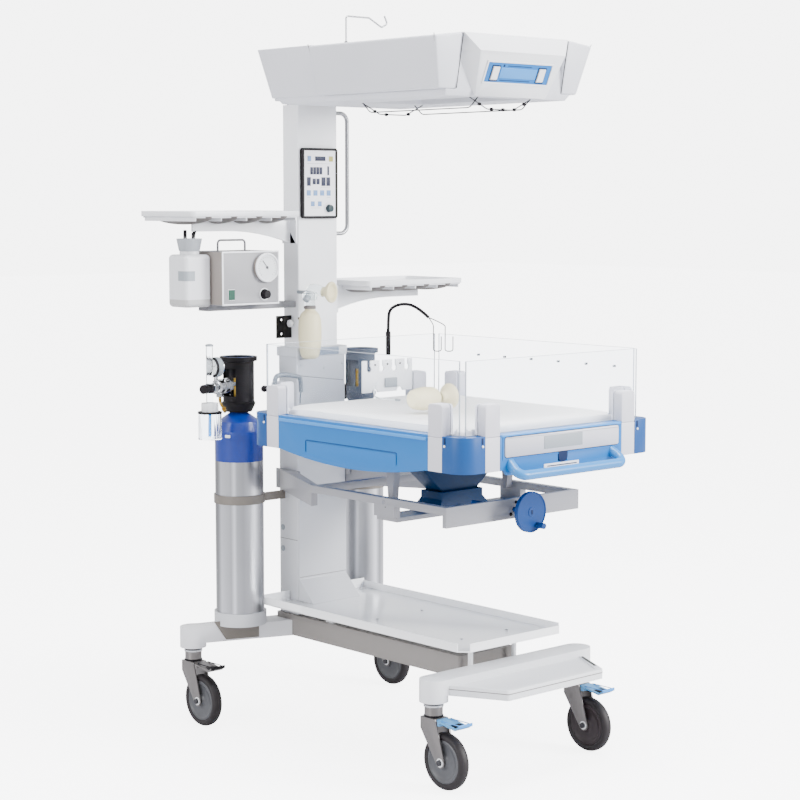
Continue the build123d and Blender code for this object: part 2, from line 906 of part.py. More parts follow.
def heater_rod():
    """The heating rod with an end holder at each end of the trough."""
    inner_y = (reflector_front_y + reflector_sheet, reflector_rear_y - reflector_sheet)
    bar = rod(heater_radius, (0, inner_y[0], heater_z), (0, inner_y[1], heater_z))
    for start, way in ((inner_y[0], 1), (inner_y[1], -1)):
        bar += rod(heater_cap_radius, (0, start, heater_z), (0, start + way * heater_cap, heater_z))
    return bar


def heater_guard():
    """Bent wires under the heater, each end hooked up to the head's lower band."""
    top_z = band_z[0]
    low_z = top_z - guard_drop
    y = (reflector_front_y - guard_end_y, reflector_rear_y + guard_end_y)
    guard = []
    for x in both(guard_half):
        points = [(x, y[0], top_z), (x, y[0] + guard_end_y, low_z), (x, y[1] - guard_end_y, low_z), (x, y[1], top_z)]
        guard.append(bent_rod(guard_wire, points, guard_drop))
    for end_y, way in ((y[0], 1), (y[1], -1)):
        bow_y = end_y + way * guard_end_y / 2
        reach = guard_half + opening_margin * 2
        points = [(-reach, bow_y, top_z), (-guard_half / 2, bow_y, low_z - guard_wire * 2),
                  (guard_half / 2, bow_y, low_z - guard_wire * 2), (reach, bow_y, top_z)]
        guard.append(bent_rod(guard_wire, points, guard_drop))
    above = block(both(head_half), (head_front_y, cover_rear_y + guard_end_y), (top_z, head_bottom_z))
    return [wire - above for wire in guard]


def drip_hook():
    """A thin hook pole standing in a sleeve on the head's rear hood."""
    base_z = head_top_z - rear_drop + run_gap
    low_x, low_z = hook_arm + hook_dip * 2, hook_arm_z - hook_dip
    pole = bent_rod(hook_rod, [(0, hook_y, base_z), (0, hook_y, hook_arm_z), (hook_arm, hook_y, hook_arm_z),
                               (low_x, hook_y, low_z), (low_x + hook_bowl, hook_y, low_z + hook_bowl / 2),
                               (low_x + hook_bowl / 2, hook_y, hook_arm_z + hook_tip)], hook_bend)
    return pole + upright(hook_sleeve_radius, 0, hook_y, (base_z, base_z + hook_sleeve_height))


# Shelves
def shelf(x, y, top_z, inner_x, outer_x):
    """A shallow tray on a plate arm that reaches out from the column's side."""
    plate_z = (top_z - shelf_rim, top_z)
    tray = rounded_up(block(x, y, plate_z), shelf_corner)
    inner = block((x[0] + shelf_sheet, x[1] - shelf_sheet), (y[0] + shelf_sheet, y[1] - shelf_sheet),
                  (plate_z[0] + shelf_sheet, plate_z[1]))
    tray -= rounded_up(inner, shelf_corner - shelf_sheet)
    low_z = plate_z[0] - arm_root_height
    tip_z = plate_z[0] - arm_tip_height
    points = [(inner_x, plate_z[0]), (outer_x, plate_z[0]), (outer_x, tip_z)]
    sweep_x = inner_x + (outer_x - inner_x) * arm_sweep_share
    for step in range(arm_sweep_steps + 1):
        share = step / arm_sweep_steps
        points.append((sweep_x + (inner_x - sweep_x) * share, tip_z + (low_z - tip_z) * share ** 2))
    arm = front_slab(points, (column_y - arm_sheet / 2, column_y + arm_sheet / 2))
    root_x = sorted((inner_x, inner_x + (arm_plate if outer_x > inner_x else -arm_plate)))
    root = block(root_x, (column_front_y + column_wall, column_rear_y - column_wall), (low_z, plate_z[0]))
    return [tray, arm + root]


def left_shelf():
    """The shelf over the suction unit."""
    return shelf(left_shelf_x, left_shelf_y, left_shelf_z, -column_half, left_shelf_x[0] + arm_tip_in)


def right_shelf():
    """The lower shelf at the column's right."""
    return shelf(right_shelf_x, right_shelf_y, right_shelf_z, column_half, right_shelf_x[1] - arm_tip_in)


# Suction unit
def suction_case():
    """The pump's case, hollow, with wells for its knob and switch."""
    case = block(case_x, case_y, case_z)
    case = fillet(case.edges(), case_round)
    inner = [(low + case_wall, high - case_wall) for low, high in (case_x, case_y, case_z)]
    case -= block(*inner)
    well = switch_in + switch_room
    case -= block((switch_x - switch_half_width - run_gap, switch_x + switch_half_width + run_gap),
                  (case_y[0], case_y[0] + well),
                  (switch_z - switch_half_height - swing_gap, switch_z + switch_half_height + swing_gap))
    return case


def suction_gauge():
    """The round vacuum gauge on the case's front."""
    gauge = rod(gauge_radius, (gauge_x, case_y[0], gauge_z), (gauge_x, case_y[0] - gauge_depth, gauge_z))
    return fillet(gauge.edges().group_by(Axis.Y)[0], knob_round)


def suction_knob():
    """The vacuum regulating knob."""
    start_y = case_y[0] - run_gap
    knob = rod(suction_knob_radius, (suction_knob_x, start_y, suction_knob_z),
               (suction_knob_x, start_y - suction_knob_length, suction_knob_z))
    return fillet(knob.edges().group_by(Axis.Y)[0], knob_round)


def suction_switch():
    """The rocker switch, part sunk in its well."""
    y = (case_y[0] + switch_in - switch_depth, case_y[0] + switch_in)
    return block((switch_x - switch_half_width, switch_x + switch_half_width), y,
                 (switch_z - switch_half_height, switch_z + switch_half_height))


def suction_fittings():
    """The bracket under the case, the black plate on the column and the wire carrying handle."""
    mid_y = column_y
    rail = block((case_x[0], -column_half), (mid_y - bracket_depth / 2, mid_y + bracket_depth / 2),
                 (case_z[0] - bracket_height, case_z[0]))
    plate = block((-column_half - plate_width, -column_half), (mid_y - plate_sheet / 2, mid_y + plate_sheet / 2),
                  (plate_low_z, plate_high_z))
    hole_x = -column_half - plate_width * 2 / 3
    for z in (plate_low_z + plate_hole * 3, plate_high_z - plate_hole * 3):
        plate -= rod(plate_hole, (hole_x, mid_y - plate_width, z), (hole_x, mid_y + plate_width, z))
    middle_x = sum(case_x) / 2
    top = case_z[1]
    wire = bent_rod(handle_wire, [(middle_x - handle_half, mid_y, top), (middle_x - handle_half, mid_y, top + handle_rise),
                                  (middle_x + handle_half, mid_y, top + handle_rise),
                                  (middle_x + handle_half, mid_y, top)], handle_rise / 3)
    return [rail, plate, wire]


def suction_jar():
    """A square collection jar with a round lid and two ports."""
    jar_x = (case_x[0] - soft_gap - jar_side, case_x[0] - soft_gap)
    body = fillet(block(jar_x, jar_y, jar_z).edges(), jar_round)
    inner = block((jar_x[0] + jar_wall, jar_x[1] - jar_wall), (jar_y[0] + jar_wall, jar_y[1] - jar_wall),
                  (jar_z[0] + jar_wall, jar_z[1] - jar_wall))
    x, y = sum(jar_x) / 2, sum(jar_y) / 2
    body = body + upright(jar_neck_radius, x, y, (jar_z[1] - jar_wall, jar_z[1] + jar_neck_height))
    body -= fillet(inner.edges(), jar_round - jar_wall)
    lid_z = (jar_z[1] + jar_neck_height, jar_z[1] + jar_neck_height + jar_lid_height)
    lid = turned([(0, lid_z[0]), (jar_lid_foot_radius, lid_z[0]), (jar_lid_radius, lid_z[1]), (0, lid_z[1])], x, y)
    for side in both(jar_port_x):
        lid += upright(jar_port_radius, x + side, y, (lid_z[1], lid_z[1] + jar_port_height))
    return [body, lid]


# Gas supply
cylinder_low_z = leg_z[1] + cup_floor


def gas_cylinder(x):
    """A domed cylinder with its valve body."""
    shoulder_r = gas_radius * 0.86
    shoulder_z = gas_shoulder_z + (gas_neck_z - gas_shoulder_z) / 2
    profile = [(0, cylinder_low_z), (gas_radius, cylinder_low_z), (gas_radius, gas_shoulder_z),
               (shoulder_r, shoulder_z), (gas_neck_radius, gas_neck_z), (0, gas_neck_z)]
    hollow_z = (cylinder_low_z + gas_wall, gas_shoulder_z - gas_wall)
    bottle = turned(profile, x, gas_y) - upright(gas_radius - gas_wall, x, gas_y, hollow_z)
    valve = upright(valve_radius, x, gas_y, (gas_neck_z, valve_top_z))
    return [bottle, valve]


def gas_cylinders():
    """The pair of cylinders beside the housing."""
    return gas_cylinder(-gas_x) + gas_cylinder(gas_x)


def valve_guard(x):
    """A round guard with a flange, a bead near its foot and side windows, on the cylinder's neck."""
    flange_z = guard_high_z - guard_flange_height
    bead = guard_radius + guard_bead
    profile = [(0, gas_neck_z), (guard_foot_radius, gas_neck_z), (bead, guard_bead_z - guard_bead),
               (bead, guard_bead_z + guard_bead), (guard_radius, guard_bead_z + guard_bead * 2),
               (guard_radius, flange_z), (guard_flange_radius, flange_z + guard_bead),
               (guard_flange_radius, guard_high_z), (0, guard_high_z)]
    guard = turned(profile, x, gas_y)
    guard -= upright(guard_foot_radius - guard_wall, x, gas_y, (gas_neck_z + guard_wall, guard_bead_z))
    guard -= upright(guard_radius - guard_wall, x, gas_y, (guard_bead_z, guard_high_z))
    guard -= upright(valve_radius, x, gas_y, (gas_neck_z, guard_high_z))
    window = (guard_window_low_z, guard_window_high_z)
    reach = guard_flange_radius + cut_over
    guard -= block((x - reach, x + reach), (gas_y - guard_window_half, gas_y + guard_window_half), window)
    return guard


def valve_guards():
    """The guards over both valves."""
    return [valve_guard(-gas_x), valve_guard(gas_x)]


def cylinder_holder(x):
    """A cup on the leg and a strap round the cylinder, held to the housing."""
    cup = upright(cup_radius, x, gas_y, (leg_z[1], leg_z[1] + cup_height))
    cup -= upright(gas_radius, x, gas_y, (cylinder_low_z, leg_z[1] + cup_height))
    z = (strap_low_z, strap_low_z + strap_height)
    strap = upright(gas_radius + strap_sheet, x, gas_y, z)
    side = 1 if x > 0 else -1
    bar_x = sorted((side * housing_half, x))
    bar_y = housing_rear_y - strap_height
    strap += block(bar_x, (bar_y - strap_sheet, bar_y), z)
    strap -= upright(gas_radius, x, gas_y, z)
    return [cup, strap]


def cylinder_holders():
    """Cups and straps of both cylinders."""
    return cylinder_holder(-gas_x) + cylinder_holder(gas_x)


def outwards(at, z):
    """A place on the line that runs out from the left cylinder's valve."""
    turn = radians(regulator_angle)
    return (-gas_x + at * cos(turn), gas_y + at * sin(turn), z)


def regulator():
    """The pressure regulator with its dial, and the arm that carries the flowmeter."""
    z = regulator_z
    body = rod(inlet_radius, outwards(0, z), outwards(meter_at, z))
    body -= upright(valve_radius, -gas_x, gas_y, (gas_neck_z, valve_top_z))
    meter = outwards(meter_at, z)
    body -= upright(meter_radius, meter[0], meter[1], (meter_low_z, meter_high_z))
    body += rod(regulator_radius, outwards(regulator_start, z), outwards(regulator_end, z))
    stem = outwards(dial_at, z)
    body += upright(dial_stem_radius, stem[0], stem[1], (z, dial_z))
    front = (stem[0] - dial_depth / 2, stem[1], dial_z)
    back = (stem[0] + dial_depth / 2, stem[1], dial_z)
    return body + rod(dial_radius, front, back)


def regulator_knob():
    """The tap at the outer end of the flowmeter block."""
    start = meter_at + meter_radius + run_gap
    tap = rod(tap_stem, outwards(start, regulator_z), outwards(start + tap_gap, regulator_z))
    return tap + rod(tap_radius, outwards(start + tap_gap, regulator_z),
                     outwards(start + tap_gap + tap_length, regulator_z))


def flowmeter():
    """A clear metering tube over a humidifier bottle."""
    x, y, _ = outwards(meter_at, regulator_z)
    tube = upright(meter_radius, x, y, (meter_low_z, meter_high_z))
    lid = upright(bottle_lid_radius, x, y, (bottle_z[1], meter_low_z))
    bottle = upright(bottle_radius, x, y, bottle_z)
    bottle -= upright(bottle_radius - jar_wall, x, y, (bottle_z[0] + jar_wall, bottle_z[1] - jar_wall))
    return [tube, lid, bottle]


# Bed frame
rail_z = (frame_top_z - frame_rail_height, frame_top_z)
front_z = (frame_top_z - frame_front_height, frame_top_z)


def bed_frame():
    """Side rails, a deep front rail, splayed arms to the housing and two cross bars."""
    rail_y = (frame_front_y + frame_front_sheet, frame_rear_y)
    side = block((frame_half - frame_rail_width, frame_half), rail_y, rail_z)
    start, end = (housing_half, arm_root_y), (frame_half, frame_rear_y)
    arm_z = (frame_top_z - splay_height, frame_top_z)
    side += slab([(start[0], start[1] - splay_height), (start[0], start[1]), (start[0] + splay_sheet, start[1]),
                  (end[0], end[1]), (end[0] - frame_rail_width, end[1])], arm_z)
    frame = side + mirrored(side)
    frame += block(both(frame_half), (frame_front_y, rail_y[0]), front_z)
    bar_z = (front_z[0], rail_z[0])
    half = frame_half - frame_rail_width
    frame += block(both(half + frame_rail_width / 2), (tilt_y - crossbar_depth, tilt_y + crossbar_depth),
                   (crossbar_low_z - splay_sheet, crossbar_low_z))
    for x in both(half + frame_rail_width / 2):
        frame += block((x - frame_rail_width / 2, x + frame_rail_width / 2),
                       (tilt_y - crossbar_depth, tilt_y + crossbar_depth), (crossbar_low_z, bar_z[1]))
    frame += block(both(half), (crossbar_y - frame_rail_width, crossbar_y), rail_z)
    frame -= rod(pivot_radius + run_gap, (-frame_half, tilt_y, tilt_z), (frame_half, tilt_y, tilt_z))
    bore = rod(crank_shaft_radius + run_gap, (0, frame_front_y, crank_z), (0, frame_front_y + frame_front_sheet, crank_z))
    return frame - bore


def pedestal_foot():
    """The flared blue foot on the middle cross bar, with a collar round the funnel's waist."""
    room_x = pedestal_waist_half + collar_room
    room_y = pedestal_waist_depth / 2 + collar_room_depth
    outline = rectangle(both(room_x + collar_wall), (tilt_y - room_y - collar_wall, tilt_y + room_y + collar_wall))
    low = rectangle(both(pedestal_foot_half), (tilt_y - pedestal_foot_depth / 2, tilt_y + pedestal_foot_depth / 2))
    foot = tapered(low, outline, (crossbar_low_z, pedestal_neck_z))
    foot += slab(outline, (pedestal_neck_z, collar_top_z))
    return foot - block(both(room_x), (tilt_y - room_y, tilt_y + room_y), (pedestal_neck_z, collar_top_z))


def tilt_pedestal():
    """The tilting funnel under the bed, and the struts that turn on pins in the side rails."""
    z = (pedestal_waist_z, bed_bottom_z)
    low = rectangle(both(pedestal_waist_half), (tilt_y - pedestal_waist_depth / 2, tilt_y + pedestal_waist_depth / 2))
    high = rectangle(both(pedestal_top_half), (tilt_y - pedestal_top_depth / 2, tilt_y + pedestal_top_depth / 2))
    pieces = [tapered(low, high, z)]
    outer = frame_half - frame_rail_width - run_gap
    for side in (-1, 1):
        x = sorted((side * outer, side * (outer - strut_width)))
        eye_half = strut_foot_depth / 2
        points = [(tilt_y - eye_half, tilt_z), (tilt_y + eye_half, tilt_z),
                  (tilt_y + strut_head_depth / 2, bed_bottom_z), (tilt_y - strut_head_depth / 2, bed_bottom_z)]
        strut = side_slab(points, x)
        strut += rod(eye_half, (x[0], tilt_y, tilt_z), (x[1], tilt_y, tilt_z))
        strut += rod(pivot_radius, (x[0], tilt_y, tilt_z), (side * frame_half, tilt_y, tilt_z))
        pieces.append(strut)
    return pieces


# Bed
bed_y = (bed_front_y, bed_rear_y)


def post_places():
    """Each post's outward direction and its middle, on the shell's outer face."""
    ends = [(0, -1, x, bed_front_y) for x in both(bed_half - post_inset)]
    ends += [(0, 1, x, bed_rear_y) for x in both(bed_half - post_inset)]
    side_y = (bed_front_y + post_inset, bed_rear_y - post_inset)
    sides = [(-1, 0, -bed_half, y) for y in side_y] + [(1, 0, bed_half, y) for y in side_y]
    return ends + sides


def post_block(place, z, outer=0, inner=post_depth, width=post_width):
    """A post's box between two depths under the shell's outer face."""
    way_x, way_y, x, y = place
    if way_x:
        xs = sorted((x - way_x * outer, x - way_x * inner))
        return block(xs, (y - width / 2, y + width / 2), z)
    ys = sorted((y - way_y * outer, y - way_y * inner))
    return block((x - width / 2, x + width / 2), ys, z)


def belly(side):
    """The curved apron under one side wall."""
    low_z = bed_bottom_z - bed_belly
    middle_y = (belly_front_y + belly_rear_y) / 2
    arc = ThreePointArc((belly_front_y, bed_bottom_z), (middle_y, low_z), (belly_rear_y, bed_bottom_z))
    face = make_face([arc, Line((belly_rear_y, bed_bottom_z), (belly_front_y, bed_bottom_z))])
    x = sorted((side * bed_half, side * (bed_half - belly_wall)))
    return extrude(Plane.YZ.offset(x[0]) * face, x[1] - x[0])


def bed_shell():
    """The blue moulding: walls, rim, deck and floor, with recesses for the posts."""
    z = (bed_bottom_z, bed_rim_z)
    shell = rounded_up(block(both(bed_half), bed_y, z), bed_corner)
    well_half = bed_half - rim_width
    well_y = (bed_front_y + rim_width, bed_rear_y - rim_width)
    well = rounded_up(block(both(well_half), well_y, (deck_z, bed_rim_z)), bed_corner)
    shell -= well
    under = bed_wall + post_depth
    hollow = block(both(bed_half - under), (bed_front_y + under, bed_rear_y - under),
                   (bed_bottom_z + bed_wall, deck_z - deck_sheet))
    shell -= rounded_up(hollow, bed_corner / 2)
    for side in (-1, 1):
        shell += belly(side)
        face_x = side * bed_half
        groove_x = sorted((face_x, face_x - side * groove_depth))
        outer = block(groove_x, groove_y, groove_z)
        inner_y = (groove_y[0] + groove_width, groove_y[1] - groove_width)
        shell -= outer - block(groove_x, inner_y, (groove_z[0], groove_z[1] - groove_width))
    for place in post_places():
        shell -= post_block(place, z)
    front = drawer_front_sheet + run_gap * 2
    shell -= block(both(drawer_front_half + swing_gap), (bed_front_y, bed_front_y + front),
                   (drawer_front_z[0] - swing_gap, drawer_front_z[1] + swing_gap))
    shell -= block(both(drawer_half + swing_gap), (bed_front_y, bed_front_y + under),
                   (drawer_box_z[0] - swing_gap, drawer_box_z[1] + swing_gap))
    notch_z = (drawer_front_z[0] - notch_depth, drawer_front_z[0])
    shell -= block(both(notch_half), (bed_front_y, bed_front_y + groove_width * 3), notch_z)
    rail_low = drawer_box_z[0] - run_gap - runner_height
    runner_y = (bed_front_y + under, bed_front_y + drawer_length)
    for side in (-1, 1):
        inner_x = side * (drawer_half - runner_height * 2)
        outer_x = side * (drawer_half + runner_height)
        shell += block(sorted((inner_x, outer_x)), runner_y, (rail_low, drawer_box_z[0] - run_gap))
        wall_x = side * (drawer_half + swing_gap)
        shell += block(sorted((wall_x, outer_x)), runner_y, (rail_low, deck_z - deck_sheet))
    return shell


def corner_posts():
    """Eight fixed lower posts, flush with the shell's outer face."""
    z = (bed_bottom_z, post_seam_z)
    return [post_block(place, z) for place in post_places()]


clamp_reach = panel_inset + panel_sheet / 2 + clamp_inner
saddle_z = (bed_rim_z + run_gap, panel_foot_z + saddle_height)


def saddle(place):
    """The clamp's solid foot, which passes under the clear panel."""
    return post_block(place, saddle_z, post_depth, clamp_reach)


def clamp(place):
    """The upper half of a post, which grips a clear panel."""
    outer = post_block(place, (post_seam_z + run_gap, post_top_z))
    jaw_z = (saddle_z[0], post_top_z)
    jaws = post_block(place, jaw_z, post_depth, clamp_reach)
    slot_z = (saddle_z[1], post_top_z)
    slot = post_block(place, slot_z, panel_inset - panel_sheet / 2, panel_inset + panel_sheet / 2)
    return outer + (jaws - slot)


def side_panel(side):
    """A clear side wall and its two clamps."""
    x = side * (bed_half - panel_inset)
    sheet = block((x - panel_sheet / 2, x + panel_sheet / 2), side_panel_y, (panel_foot_z, panel_top_z))
    places = [place for place in post_places() if place[0] == side]
    for place in places:
        sheet -= saddle(place)
    return [sheet] + [clamp(place) for place in places]


def end_panel(side):
    """A clear end wall and its two clamps."""
    end_y = bed_rear_y if side > 0 else bed_front_y
    y = end_y - side * panel_inset
    sheet = block(both(end_panel_half), (y - panel_sheet / 2, y + panel_sheet / 2), (panel_foot_z, panel_top_z))
    places = [place for place in post_places() if place[1] == side]
    for place in places:
        sheet -= saddle(place)
    return [sheet] + [clamp(place) for place in places]


def drawer():
    """A shallow drawer under the deck, with a flush front."""
    front_y = bed_front_y - drawer_front_proud
    back_y = bed_front_y + drawer_front_sheet
    front = block(both(drawer_front_half), (front_y, back_y), drawer_front_z)
    front = fillet(front.edges().filter_by(Axis.Y), bed_wall)
    box_y = (back_y, bed_front_y + drawer_length)
    box = block(both(drawer_half), box_y, drawer_box_z)
    box -= block(both(drawer_half - drawer_wall), (back_y + drawer_wall, box_y[1] - drawer_wall),
                 (drawer_box_z[0] + drawer_wall, drawer_box_z[1]))
    return front + box


def mattress():
    """A crowned pad with drawn-in sides and rounded corners, lying on the deck."""
    base_z = deck_z + soft_gap
    middle = (mattress_y[0] + mattress_y[1]) / 2
    half_y = (mattress_y[1] - mattress_y[0]) / 2

    def section(z, inset):
        outline = RectangleRounded((mattress_half - inset) * 2, (half_y - inset) * 2, mattress_corner - inset)
        return Pos(0, middle, z) * outline

    waist_z = (base_z + mattress_edge_z) / 2
    sides = loft([section(base_z, mattress_draw), section(waist_z, 0), section(mattress_edge_z, mattress_draw)])
    rise = mattress_crown
    top = extrude(section(mattress_edge_z, mattress_draw), rise)
    for half, other, turn in ((mattress_half, half_y, Rot(90, 0, 0)), (half_y, mattress_half, Rot(0, 90, 0))):
        span = half - mattress_draw
        round_radius = (span ** 2 + rise ** 2) / (2 * rise)
        top &= Pos(0, middle, mattress_edge_z + rise - round_radius) * turn * Cylinder(round_radius, other * 2)
    return sides + top


def push_handle():
    """The tubular handle under the drawer."""
    root_y = bed_front_y + handle_radius
    left = [(-handle_root_half, root_y, handle_root_z), (-handle_bar_half, handle_bar_y, handle_bar_z)]
    right = [(handle_bar_half, handle_bar_y, handle_bar_z), (handle_root_half, root_y, handle_root_z)]
    bar = bent_rod(handle_radius, left + right, handle_bend)
    ends = block(both(bed_half), (bed_front_y, bed_front_y + handle_radius * 2),
                 (handle_root_z - handle_radius * 3, handle_root_z + handle_radius * 3))
    return bar - ends


def crank_wheel():
    """The crank disc with its knob, on a shaft through the front rail to the tilt screw."""
    disc_y = (crank_disc_y, crank_disc_y + crank_disc_depth)
    wheel = rod(crank_disc_radius, (0, disc_y[0], crank_z), (0, disc_y[1], crank_z))
    wheel = fillet(wheel.edges().group_by(Axis.Y)[0], knob_round)
    cone_end_y = disc_y[1] + crank_cone_depth
    wheel += rod(crank_cone_radius, (0, disc_y[1], crank_z), (0, cone_end_y, crank_z))
    wheel += rod(crank_shaft_radius, (0, cone_end_y, crank_z), (0, crank_shaft_end_y, crank_z))
    turn = radians(crank_knob_angle)
    x, z = crank_knob_at * cos(turn), crank_z + crank_knob_at * sin(turn)
    return wheel + rod(crank_knob_radius, (x, disc_y[0], z), (x, disc_y[0] - crank_knob_length, z))


# Accessories
def bag(radius, neck_radius, length):
    """A squeeze bag about its long axis, from its foot up."""
    middle = length / 2
    side = ThreePointArc((neck_radius, 0, 0), (radius, 0, middle), (neck_radius, 0, length))
    close = Polyline((neck_radius, 0, length), (0, 0, length), (0, 0, 0), (neck_radius, 0, 0))
    return revolve(make_face([side, close]), Axis.Z)


def face_mask(radius, nose_radius, length):
    """A hollow cone-shaped mask about its axis, from its nose up to its rim."""
    outer = loft([Circle(nose_radius), Pos(0, 0, length) * Circle(radius)])
    inner = loft([Pos(0, 0, mask_wall) * Circle(nose_radius - mask_wall),
                  Pos(0, 0, length) * Circle(radius - mask_wall)])
    return outer - inner


def resuscitator():
    """A squeeze bag, elbow and mask, hung on a peg in the column's front."""
    squeeze = Pos(bag_x, bag_y, bag_z[0]) * bag(bag_radius, bag_neck_radius, bag_z[1] - bag_z[0])
    elbow = upright(elbow_radius, bag_x, bag_y, (bag_z[1], elbow_z + elbow_radius))
    elbow += rod(elbow_radius, (bag_x, bag_y, elbow_z), (mask_x, bag_y, elbow_z))
    elbow += rod(peg_radius, (bag_x, bag_y, elbow_z), (bag_x, column_front_y, elbow_z))
    mask = Pos(mask_x, bag_y, elbow_z) * Rot(0, 90, 0) * face_mask(mask_radius, mask_nose_radius, mask_length)
    return [squeeze, elbow, mask]


def bed_accessories():
    """A second bag and mask lying on the mattress, and the tubing holder on the head panel."""
    top_z = mattress_edge_z + mattress_crown + soft_gap
    length = lying_bag_x[1] - lying_bag_x[0]
    bag_body = Pos(lying_bag_x[0], lying_bag_y, top_z + mask_radius) * Rot(0, 90, 0) \
        * bag(mask_radius, bag_neck_radius, length)
    mask = Pos(lying_bag_x[1], lying_bag_y, top_z + mask_radius) * Rot(0, 90, 0) \
        * face_mask(mask_radius, mask_nose_radius, mask_length)
    panel_y = bed_rear_y - panel_inset - panel_sheet / 2
    holder = block(holder_x, (panel_y - holder_sheet, panel_y), holder_z)
    pitch = (holder_x[1] - holder_x[0]) / holder_notch_count
    for i in range(holder_notch_count):
        x = holder_x[0] + (i + 0.5) * pitch
        holder -= block((x - holder_notch / 2, x + holder_notch / 2), (panel_y - holder_sheet, panel_y),
                        (holder_z[1] - holder_notch * 2, holder_z[1]))
    return [bag_body, mask, holder]


def gooseneck():
    """A bendable arm on the head panel's top edge, with two wire hose hooks."""
    panel_y = bed_rear_y - panel_inset
    clamp = block((neck_x - neck_clamp_half, neck_x + neck_clamp_half),
                  (panel_y - neck_clamp_half, panel_y + neck_clamp_half), neck_clamp_z)
    clamp -= block((neck_x - neck_clamp_half, neck_x + neck_clamp_half),
                   (panel_y - panel_sheet / 2, panel_y + panel_sheet / 2), (neck_clamp_z[0], panel_top_z))
    tip = (neck_x + neck_side, panel_y - neck_reach, panel_top_z + neck_tip_rise)
    points = [(neck_x, panel_y, neck_clamp_z[1]), (neck_x, panel_y, panel_top_z + neck_rise), tip]
    arm = bent_rod(neck_tube, points, neck_bend)
    hooks = []
    for step in wire_steps:
        near, far = step, step + wire_spread
        low_z = tip[2] - wire_drop
        hooks.append(bent_rod(wire_radius, [tip, (tip[0] + near, tip[1] - near, tip[2] - wire_fall),
                                            (tip[0] + near, tip[1] - near, low_z),
                                            (tip[0] + far, tip[1] - far, low_z),
                                            (tip[0] + far, tip[1] - far, low_z + wire_rise)], wire_curl))
    return [clamp + arm] + hooks


# Every sub-part, by the name of its file
sub_parts = {
    "base_frame": base_frame(),
    "front_foot": front_foot(),
    "lower_tray": lower_tray(),
    "lower_housing": lower_housing(),
    "housing_cover": housing_cover(),
    "column": column(),
    "control_panel": control_panel(),
    "control_knob": control_knob(),
    "side_rail": side_rail(),
    "swivel_plate": swivel_plate(),
    "head_shell": head_shell(),
    "side_covers": [side_cover(), mirrored(side_cover())],
    "head_console": head_console(),
    "rocker_left": rocker(-rocker_x),
    "rocker_right": rocker(rocker_x),
    "reflector": reflector(),
    "heater_rod": heater_rod(),
    "heater_guard": heater_guard(),
    "drip_hook": drip_hook(),
    "left_shelf": left_shelf(),
    "right_shelf": right_shelf(),
    "suction_case": [suction_case(), suction_gauge()],
    "suction_knob": suction_knob(),
    "suction_switch": suction_switch(),
    "suction_fittings": suction_fittings(),
    "suction_jar": suction_jar(),
    "gas_cylinders": gas_cylinders(),
    "valve_guards": valve_guards(),
    "cylinder_holders": cylinder_holders(),
    "regulator": regulator(),
    "regulator_knob": regulator_knob(),
    "flowmeter": flowmeter(),
    "bed_frame": bed_frame(),
    "pedestal_foot": pedestal_foot(),
    "tilt_pedestal": tilt_pedestal(),
    "bed_shell": bed_shell(),
    "corner_posts": corner_posts(),
    "panel_left": side_panel(-1),
    "panel_right": side_panel(1),
    "panel_foot": end_panel(-1),
    "panel_head": end_panel(1),
    "drawer": drawer(),
    "mattress": mattress(),
    "push_handle": push_handle(),
    "crank_wheel": crank_wheel(),
    "resuscitator": resuscitator(),
    "bed_accessories": bed_accessories(),
    "gooseneck": gooseneck(),
}

caster_places = {
    "fl": (-front_caster_x, front_caster_y),
    "fr": (front_caster_x, front_caster_y),
    "rl": (-rear_caster_x, rear_caster_y),
    "rr": (rear_caster_x, rear_caster_y),
}
for corner, place in caster_places.items():
    sub_parts["caster_fork_" + corner] = caster_fork(*place)
    sub_parts["caster_wheel_" + corner] = caster_wheel(*place)
    sub_parts["caster_pedal_" + corner] = caster_pedal(*place)

os.makedirs("parts", exist_ok=True)
for name, shape in sub_parts.items():
    if isinstance(shape, list):
        shape = Compound(children=shape)
    export_step(shape, os.path.join("parts", name + ".step"))
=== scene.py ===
import bpy
import json
from math import atan2, pi, radians
from mathutils import Matrix, Vector

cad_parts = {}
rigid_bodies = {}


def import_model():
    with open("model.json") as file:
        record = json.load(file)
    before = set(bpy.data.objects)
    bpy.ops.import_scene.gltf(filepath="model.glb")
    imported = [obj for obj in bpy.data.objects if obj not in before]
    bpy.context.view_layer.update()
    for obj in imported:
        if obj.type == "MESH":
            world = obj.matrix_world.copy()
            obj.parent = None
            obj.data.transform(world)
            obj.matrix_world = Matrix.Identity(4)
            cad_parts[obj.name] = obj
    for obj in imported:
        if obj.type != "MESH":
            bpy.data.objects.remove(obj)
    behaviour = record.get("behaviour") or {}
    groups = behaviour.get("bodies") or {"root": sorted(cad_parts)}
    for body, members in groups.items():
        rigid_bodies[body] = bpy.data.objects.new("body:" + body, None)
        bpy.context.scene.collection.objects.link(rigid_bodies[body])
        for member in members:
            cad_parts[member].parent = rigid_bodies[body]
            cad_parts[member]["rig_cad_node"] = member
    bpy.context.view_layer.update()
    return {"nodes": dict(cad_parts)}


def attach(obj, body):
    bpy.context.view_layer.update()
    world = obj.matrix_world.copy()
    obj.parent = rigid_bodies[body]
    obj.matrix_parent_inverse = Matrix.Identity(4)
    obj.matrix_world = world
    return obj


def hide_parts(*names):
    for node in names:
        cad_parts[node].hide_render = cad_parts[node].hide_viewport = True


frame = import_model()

scene = bpy.context.scene


# The camera stands where the photograph was taken from
bpy.ops.object.camera_add(location=(-3.6306, -3.9673, 1.5102), rotation=(radians(84.14), 0, radians(-42.04)))
camera = bpy.context.object
camera.data.lens = 87.65
camera.data.sensor_width = 36
scene.camera = camera


